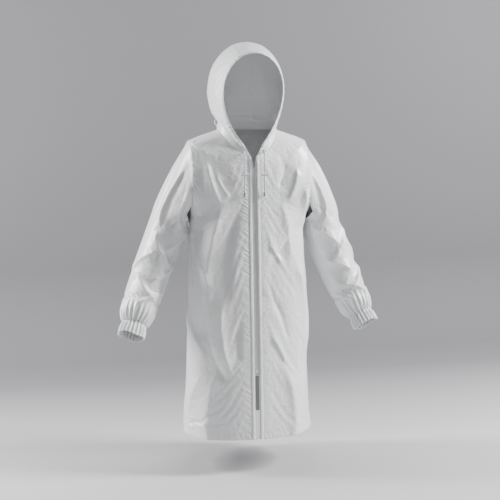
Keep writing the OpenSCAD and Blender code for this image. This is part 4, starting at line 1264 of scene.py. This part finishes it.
casing_rings = casing_grid()
if not outward(casing_rings, True):
    casing_rings = casing_rings[:, ::-1]
casing = piece_from_grid("casing_cloth", casing_rings, closed=True, material=gathered_cloth, thickness=0.0005)
with_hood(casing)
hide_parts("hood_casing", "drawcord_in_casing")
declare_cloth(casing, np.concatenate([casing_rings, casing_rings[:, :1]], axis=1), 0.0)
print("hood:", [c for c in cuts if "hood" in c[0] or "casing" in c[0]])

# %% [markdown]
# ## Stitches
# A stitch is a short raised loop of thread. One small eight-sided grain, copied every few millimetres
# along a seam, is enough: the eye reads the row and not the stitch.

# %% Rows of stitches
STITCH_LENGTH, STITCH_WIDTH, STITCH_PITCH = 0.0024, 0.00055, 0.0036
thread = new_material("thread", (0.74, 0.75, 0.76), 0.55)


def stitch_row(name, line, normals, body=None, blend=None, lift=0.0003):
    count = max(4, int(length_of(line.tolist()) / STITCH_PITCH))
    places, up = resample(line, count), resample(normals, count) if len(normals) == len(line) else normals
    up = up / np.linalg.norm(up, axis=1)[:, None]
    run = np.gradient(places, axis=0)
    run /= np.linalg.norm(run, axis=1)[:, None]
    side = np.cross(up, run)
    middle = places + up * lift
    corners = np.stack([
        middle - run * STITCH_LENGTH / 2, middle + side * STITCH_WIDTH / 2, middle + up * STITCH_WIDTH,
        middle - side * STITCH_WIDTH / 2, middle - up * STITCH_WIDTH, middle + run * STITCH_LENGTH / 2], axis=1)
    start = np.arange(len(places))[:, None] * 6
    shape = np.array([[0, 2, 1], [0, 3, 2], [0, 4, 3], [0, 1, 4], [5, 1, 2], [5, 2, 3], [5, 3, 4], [5, 4, 1]])
    mesh = bpy.data.meshes.new(name)
    faces = (start[:, :, None] + shape[None]).reshape(-1, 3)
    mesh.from_pydata(corners.reshape(-1, 3).tolist(), [], faces.tolist())
    mesh.materials.append(thread)
    row = bpy.data.objects.new(name, mesh)
    bpy.context.scene.collection.objects.link(row)
    work = bmesh.new()
    work.from_mesh(mesh)
    bmesh.ops.recalc_face_normals(work, faces=work.faces)
    work.to_mesh(mesh)
    work.free()
    if blend:
        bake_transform(row)
    else:
        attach(row, body)
    return row


def line_on(grid, rows, columns, closed=False):
    """A line of a grid with its normals, to hang stitches on."""
    normals = grid_normals(grid, closed)
    return grid[rows, columns].reshape(-1, 3), normals[rows, columns].reshape(-1, 3)


def even_normals(line, normals):
    """Normals at evenly spaced places along the line."""
    steps = np.concatenate([[0], np.cumsum(np.linalg.norm(np.diff(line, axis=0), axis=1))])
    want = np.linspace(0, steps[-1], max(4, int(steps[-1] / STITCH_PITCH)) + 1)
    return np.stack([np.interp(want, steps, normals[:, k]) for k in range(3)], axis=1)


def sew(name, grid, rows, columns, closed=False, **how):
    line, normals = line_on(grid, rows, columns, closed)
    return stitch_row(name, line, even_normals(line, normals), **how)


hood_blend = ("coat", "hood", tuple(HOOD_FROM), tuple(HOOD_TO))
for side, sign in SIDES.items():
    grid = fine[f"front_{side}"]
    facing = grid if side == "left" else grid[:, ::-1]
    column = int(np.argmax(along_row(facing)[60] > STITCH_FROM_EDGE))
    column = column if side == "left" else grid.shape[1] - 1 - column
    sew(f"zip_stitches_{side}", grid, slice(4, -12), column, body="coat")
    sew(f"hem_stitches_{side}", grid, row_above(grid, HEM_STITCH), slice(2, -2), body="coat")
    sleeve_blend = ("coat", f"sleeve_{side}", sided(BLEND_FROM, sign), sided(BLEND_TO, sign))
    sew(f"armhole_stitches_{side}", fine[f"sleeve_{side}"], 2, slice(None), True, blend=sleeve_blend)
sew("hem_stitches_back", fine["back"], row_above(fine["back"], HEM_STITCH), slice(2, -2), body="coat")
sew("casing_stitches", casing_rings, slice(3, -3), 10, True, blend=hood_blend)
for n, column in enumerate(seam_columns):
    for m, shift in enumerate((-3, 3)):
        sew(f"crown_stitches_{n}{m}", hood_fine, slice(12, -2), column + shift, blend=hood_blend)
band_fine = refine(solved["band"], 3, 2)
sew("neck_stitches", band_fine, 1, slice(8, -8), body="coat")

# %% [markdown]
# ## The zip's coils
# A coil zip closes with two rows of small hooked loops, one on each tape. One loop is shaped from a cube:
# its nose is pinched and its edges are bevelled. An Array modifier repeats it down the tape, and the two
# rows are half a pitch apart, as they are where a real zip has closed.

# %% Shape one coil loop and repeat it
COIL_PITCH = 0.0024
zip_top = Vector((0.0, -NECK_FRONT, ZIP_TOP_Z))


def deselect():
    bpy.ops.object.select_all(action="DESELECT")


def apply_modifiers(piece):
    deselect()
    piece.select_set(True)
    bpy.context.view_layer.objects.active = piece
    for modifier in list(piece.modifiers):
        bpy.ops.object.modifier_apply(modifier=modifier.name)


def make_coil(side, sign):
    deselect()
    length = 0.700
    bpy.ops.mesh.primitive_cube_add(size=1.0, location=(sign * 0.0017, 0.0026, -0.004))
    loop = bpy.context.object
    loop.name = f"coil_{side}"
    loop.scale = (0.0042, 0.0022, 0.0013)
    bpy.ops.object.transform_apply(location=True, rotation=True, scale=True)
    bpy.ops.object.mode_set(mode="EDIT")
    bpy.ops.mesh.select_all(action="DESELECT")
    bpy.ops.object.mode_set(mode="OBJECT")
    for vertex in loop.data.vertices:
        vertex.select = sign * vertex.co.x < 0.001
    bpy.ops.object.mode_set(mode="EDIT")
    bpy.ops.transform.resize(value=(1.0, 0.72, 0.8))
    bpy.ops.mesh.select_all(action="SELECT")
    bpy.ops.mesh.bevel(offset=0.00032, segments=1)
    bpy.ops.object.mode_set(mode="OBJECT")
    for vertex in loop.data.vertices:
        vertex.co.z -= 0 if sign > 0 else COIL_PITCH / 2
    row = loop.modifiers.new("row", "ARRAY")
    row.count = int(length / COIL_PITCH)
    row.use_relative_offset = False
    row.use_constant_offset = True
    row.constant_offset_displace = (0.0, 0.0, -COIL_PITCH)
    apply_modifiers(loop)
    turn = Matrix.Translation(zip_top) @ Matrix.Rotation(-math.atan(LEAN), 4, "X")
    loop.data.transform(turn)
    loop.data.update()
    return loop


zip_coil = new_material("white_nylon", (0.80, 0.81, 0.82), 0.32)
for side, sign in SIDES.items():
    coil = make_coil(side, sign)
    coil.data.materials.clear()
    coil.data.materials.append(zip_coil)
    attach(coil, "coat")
    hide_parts(f"zip_coil_{side}")

# %% [markdown]
# ## Small finishes
# Metal, nylon, cord and tape each get a fine pattern at their own scale on Object coordinates, because
# their pieces are small and none of them is unwrapped. The zip's metal is brushed, the cord is a braid,
# and the elastic and the tapes are ribbed.

# %% Ribs and braids on Object coordinates
def bumped(name, color, roughness, pattern, depth, metallic=0.0, dark=0.82):
    """pattern takes the tree and the coordinates, and gives a height from 0 to 1."""
    material = new_material(name, color, roughness, metallic)
    tree, shader = material.node_tree, principled(material)
    place = tree.nodes.new("ShaderNodeTexCoord").outputs["Object"]
    height = pattern(tree, place)
    bump = tree.nodes.new("ShaderNodeBump")
    bump.inputs["Distance"].default_value = depth
    tree.links.new(height, bump.inputs["Height"])
    tree.links.new(bump.outputs[0], shader.inputs["Normal"])
    # The colour is darker where the pattern's height is low: painted shade in the hollows between threads and ribs, and
    # on the grain patterns partly also a random change of tone.
    shade = tree.nodes.new("ShaderNodeMix")
    shade.data_type = "RGBA"
    shade.inputs[6].default_value = (*[c * dark for c in color], 1.0)
    shade.inputs[7].default_value = (*color, 1.0)
    tree.links.new(height, shade.inputs[0])
    tree.links.new(shade.outputs[2], shader.inputs["Base Color"])
    return material


def weave_of(threads, x=1.0, y=1.0, turn=0.0, plane="XZ"):
    def pattern(tree, place):
        split = tree.nodes.new("ShaderNodeSeparateXYZ")
        tree.links.new(place, split.inputs[0])
        a = math_node(tree, "MULTIPLY", split.outputs[plane[0]], x)
        b = math_node(tree, "MULTIPLY", split.outputs[plane[1]], y)
        both = tree.nodes.new("ShaderNodeCombineXYZ")
        tree.links.new(math_node(tree, "ADD", a, math_node(tree, "MULTIPLY", b, turn)), both.inputs[0])
        tree.links.new(math_node(tree, "SUBTRACT", b, math_node(tree, "MULTIPLY", a, turn)), both.inputs[1])
        weave = tree.nodes.new("ShaderNodeGroup")
        weave.node_tree = weave_group
        weave.inputs["Threads per metre"].default_value = threads
        tree.links.new(both.outputs[0], weave.inputs["Vector"])
        return weave.outputs["Height"]
    return pattern


def grain_of(scale, detail=4.0):
    return lambda tree, place: noise(tree, place, scale, detail, 0.6)


braided = bumped("white_braid", (0.82, 0.83, 0.84), 0.55, weave_of(900.0, 1.0, 1.0, 0.8), 0.0003, dark=0.72)
zip_tape_finish = bumped("zip_tape_weave", (0.84, 0.845, 0.85), 0.5, weave_of(1300.0), 0.0001, dark=0.9)
metal = bumped("brushed_metal", (0.55, 0.555, 0.565), 0.28, grain_of(900.0), 0.00004, 1.0, 0.8)
# The grey strip below the zip's end is coloured dark grey: painted shade for the slit there, where the coat's inside
# lies in shadow.
painted_slit_shade = bumped("grey_reflective_tape", (0.16, 0.165, 0.17), 0.42, weave_of(1100.0, turn=0.5), 0.00015, dark=0.8)
lock_finish = bumped("clear_grey_plastic", (0.66, 0.67, 0.68), 0.3, grain_of(500.0), 0.00005, dark=0.92)
bell_finish = bumped("grey_plastic", (0.42, 0.425, 0.43), 0.35, grain_of(500.0), 0.00005, dark=0.9)
stop_finish = bumped("white_plastic", (0.84, 0.845, 0.85), 0.3, grain_of(400.0), 0.00004, dark=0.94)
elastic_finish = bumped("ribbed_elastic", (0.78, 0.785, 0.79), 0.6, weave_of(700.0, 1.0, 0.2), 0.0004, dark=0.75)
spring_finish = bumped("spring_steel", (0.5, 0.5, 0.51), 0.25, grain_of(800.0), 0.00003, 1.0, 0.9)
# The underarm vents' net is nearly black: painted shade for the dark crease under each arm.
underarm_painted_shade = bumped("dark_net", (0.05, 0.052, 0.055), 0.7, weave_of(600.0, plane="YZ"), 0.0003, dark=0.4)
placket_finish = bumped("placket_weave", (0.84, 0.845, 0.85), 0.45, grain_of(70.0), 0.0009, dark=0.92)
loop_finish = bumped("loop_tape", (0.84, 0.845, 0.85), 0.5, weave_of(1000.0, turn=0.3), 0.0002, dark=0.88)

DRESSED = {
    "zip_tape": zip_tape_finish, "zip_top_stops": metal, "zip_bottom_box": stop_finish, "zip_slider": metal,
    "zip_pull": metal, "lower_placket": placket_finish, "grey_strip": painted_slit_shade, "eyelet": metal,
    "cord_lock": lock_finish, "lock_button": lock_finish, "lock_spring": spring_finish, "cord_bell": bell_finish,
    "hang_loop": loop_finish, "cuff_elastic": elastic_finish, "underarm_vent": underarm_painted_shade}


def dress(node, material):
    piece = bpy.data.objects[node]
    if not piece.material_slots:
        piece.data.materials.append(material)
    for place in piece.material_slots:
        place.material = material


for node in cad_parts:
    start = max((key for key in DRESSED if node.startswith(key)), key=len, default=None)
    if start:
        dress(node, DRESSED[start])
print("dressed:", len([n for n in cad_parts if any(n.startswith(k) for k in DRESSED)]))

# %% Finish the two cords
for side, sign in SIDES.items():
    cord = cords[side]
    cord.data.materials.append(braided)
    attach(cord, "coat")
    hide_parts(f"drawcord_{side}")

# %% [markdown]
# ## Floor, backdrop and light
# The coat hangs a hand's breadth above a pale floor that curves up into a grey backdrop. A broad soft
# light stands high on the wearer's left, a narrow one behind on the other side gives the bright edge of
# the far sleeve, and the grey surroundings fill in the rest.

# %% The floor and backdrop
FLOOR_Z = HEM_Z - 0.12


def make_backdrop():
    bend, wall_y, front_y = 0.45, 1.55, -5.0
    profile = [(front_y, FLOOR_Z)]
    for k in range(25):
        a = math.pi / 2 * k / 24
        profile.append((wall_y - bend + bend * math.sin(a), FLOOR_Z + bend - bend * math.cos(a)))
    profile.append((wall_y, FLOOR_Z + 4.2))
    points, faces = [], []
    for y, z in profile:
        points += [(-5.0, y, z), (5.0, y, z)]
    for k in range(len(profile) - 1):
        faces.append((2 * k, 2 * k + 1, 2 * k + 3, 2 * k + 2))
    mesh = bpy.data.meshes.new("backdrop")
    mesh.from_pydata(points, [], faces)
    mesh.polygons.foreach_set("use_smooth", np.ones(len(faces), bool))
    piece = bpy.data.objects.new("backdrop", mesh)
    bpy.context.scene.collection.objects.link(piece)
    material = new_material("backdrop_paint", (0.5, 0.5, 0.52), 0.85)
    tree = material.node_tree
    split = tree.nodes.new("ShaderNodeSeparateXYZ")
    tree.links.new(tree.nodes.new("ShaderNodeTexCoord").outputs["Object"], split.inputs[0])
    ramp = tree.nodes.new("ShaderNodeValToRGB")
    reach = tree.nodes.new("ShaderNodeMapRange")
    reach.inputs["From Min"].default_value = 0.1
    reach.inputs["From Max"].default_value = 1.3
    tree.links.new(split.outputs["Y"], reach.inputs["Value"])
    tree.links.new(reach.outputs[0], ramp.inputs[0])
    ramp.color_ramp.elements[0].color = (0.50, 0.50, 0.51, 1)
    ramp.color_ramp.elements[1].color = (0.165, 0.165, 0.175, 1)
    shader = principled(material)
    tree.links.new(ramp.outputs[0], shader.inputs["Base Color"])
    see_through = tree.nodes.new("ShaderNodeMixShader")
    tree.links.new(tree.nodes.new("ShaderNodeNewGeometry").outputs["Backfacing"], see_through.inputs[0])
    tree.links.new(shader.outputs[0], see_through.inputs[1])
    tree.links.new(tree.nodes.new("ShaderNodeBsdfTransparent").outputs[0], see_through.inputs[2])
    out = next(node for node in tree.nodes if node.type == "OUTPUT_MATERIAL")
    tree.links.new(see_through.outputs[0], out.inputs["Surface"])
    mesh.materials.append(material)


make_backdrop()


# %% The lights
def area_light(name, place, aim, power, width, height, color=(1, 1, 1)):
    data = bpy.data.lights.new(name, "AREA")
    data.shape = "RECTANGLE"
    data.size, data.size_y = width, height
    data.energy = power
    data.color = color
    light = bpy.data.objects.new(name, data)
    light.location = place
    light.rotation_euler = (Vector(aim) - Vector(place)).to_track_quat("-Z", "Y").to_euler()
    bpy.context.scene.collection.objects.link(light)


area_light("key", (2.9, -0.8, 1.2), (0.0, 0.0, -0.35), 300.0, 0.7, 1.5)
area_light("front", (-0.6, -3.4, 0.9), (0.0, 0.0, -0.5), 14.0, 0.6, 1.4)
area_light("rim", (-2.1, 0.55, 0.35), (-0.2, 0.0, -0.45), 120.0, 0.35, 1.8)
area_light("top", (0.0, 0.6, 2.4), (0.0, 0.0, 0.0), 22.0, 1.5, 1.0)
world = bpy.data.worlds.new("studio")
bpy.context.scene.world = world
world.use_nodes = True
world.node_tree.nodes["Background"].inputs[0].default_value = (0.62, 0.62, 0.64, 1)
world.node_tree.nodes["Background"].inputs[1].default_value = 0.21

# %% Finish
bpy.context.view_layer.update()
print("script took", round(time.time() - started, 1), "s")
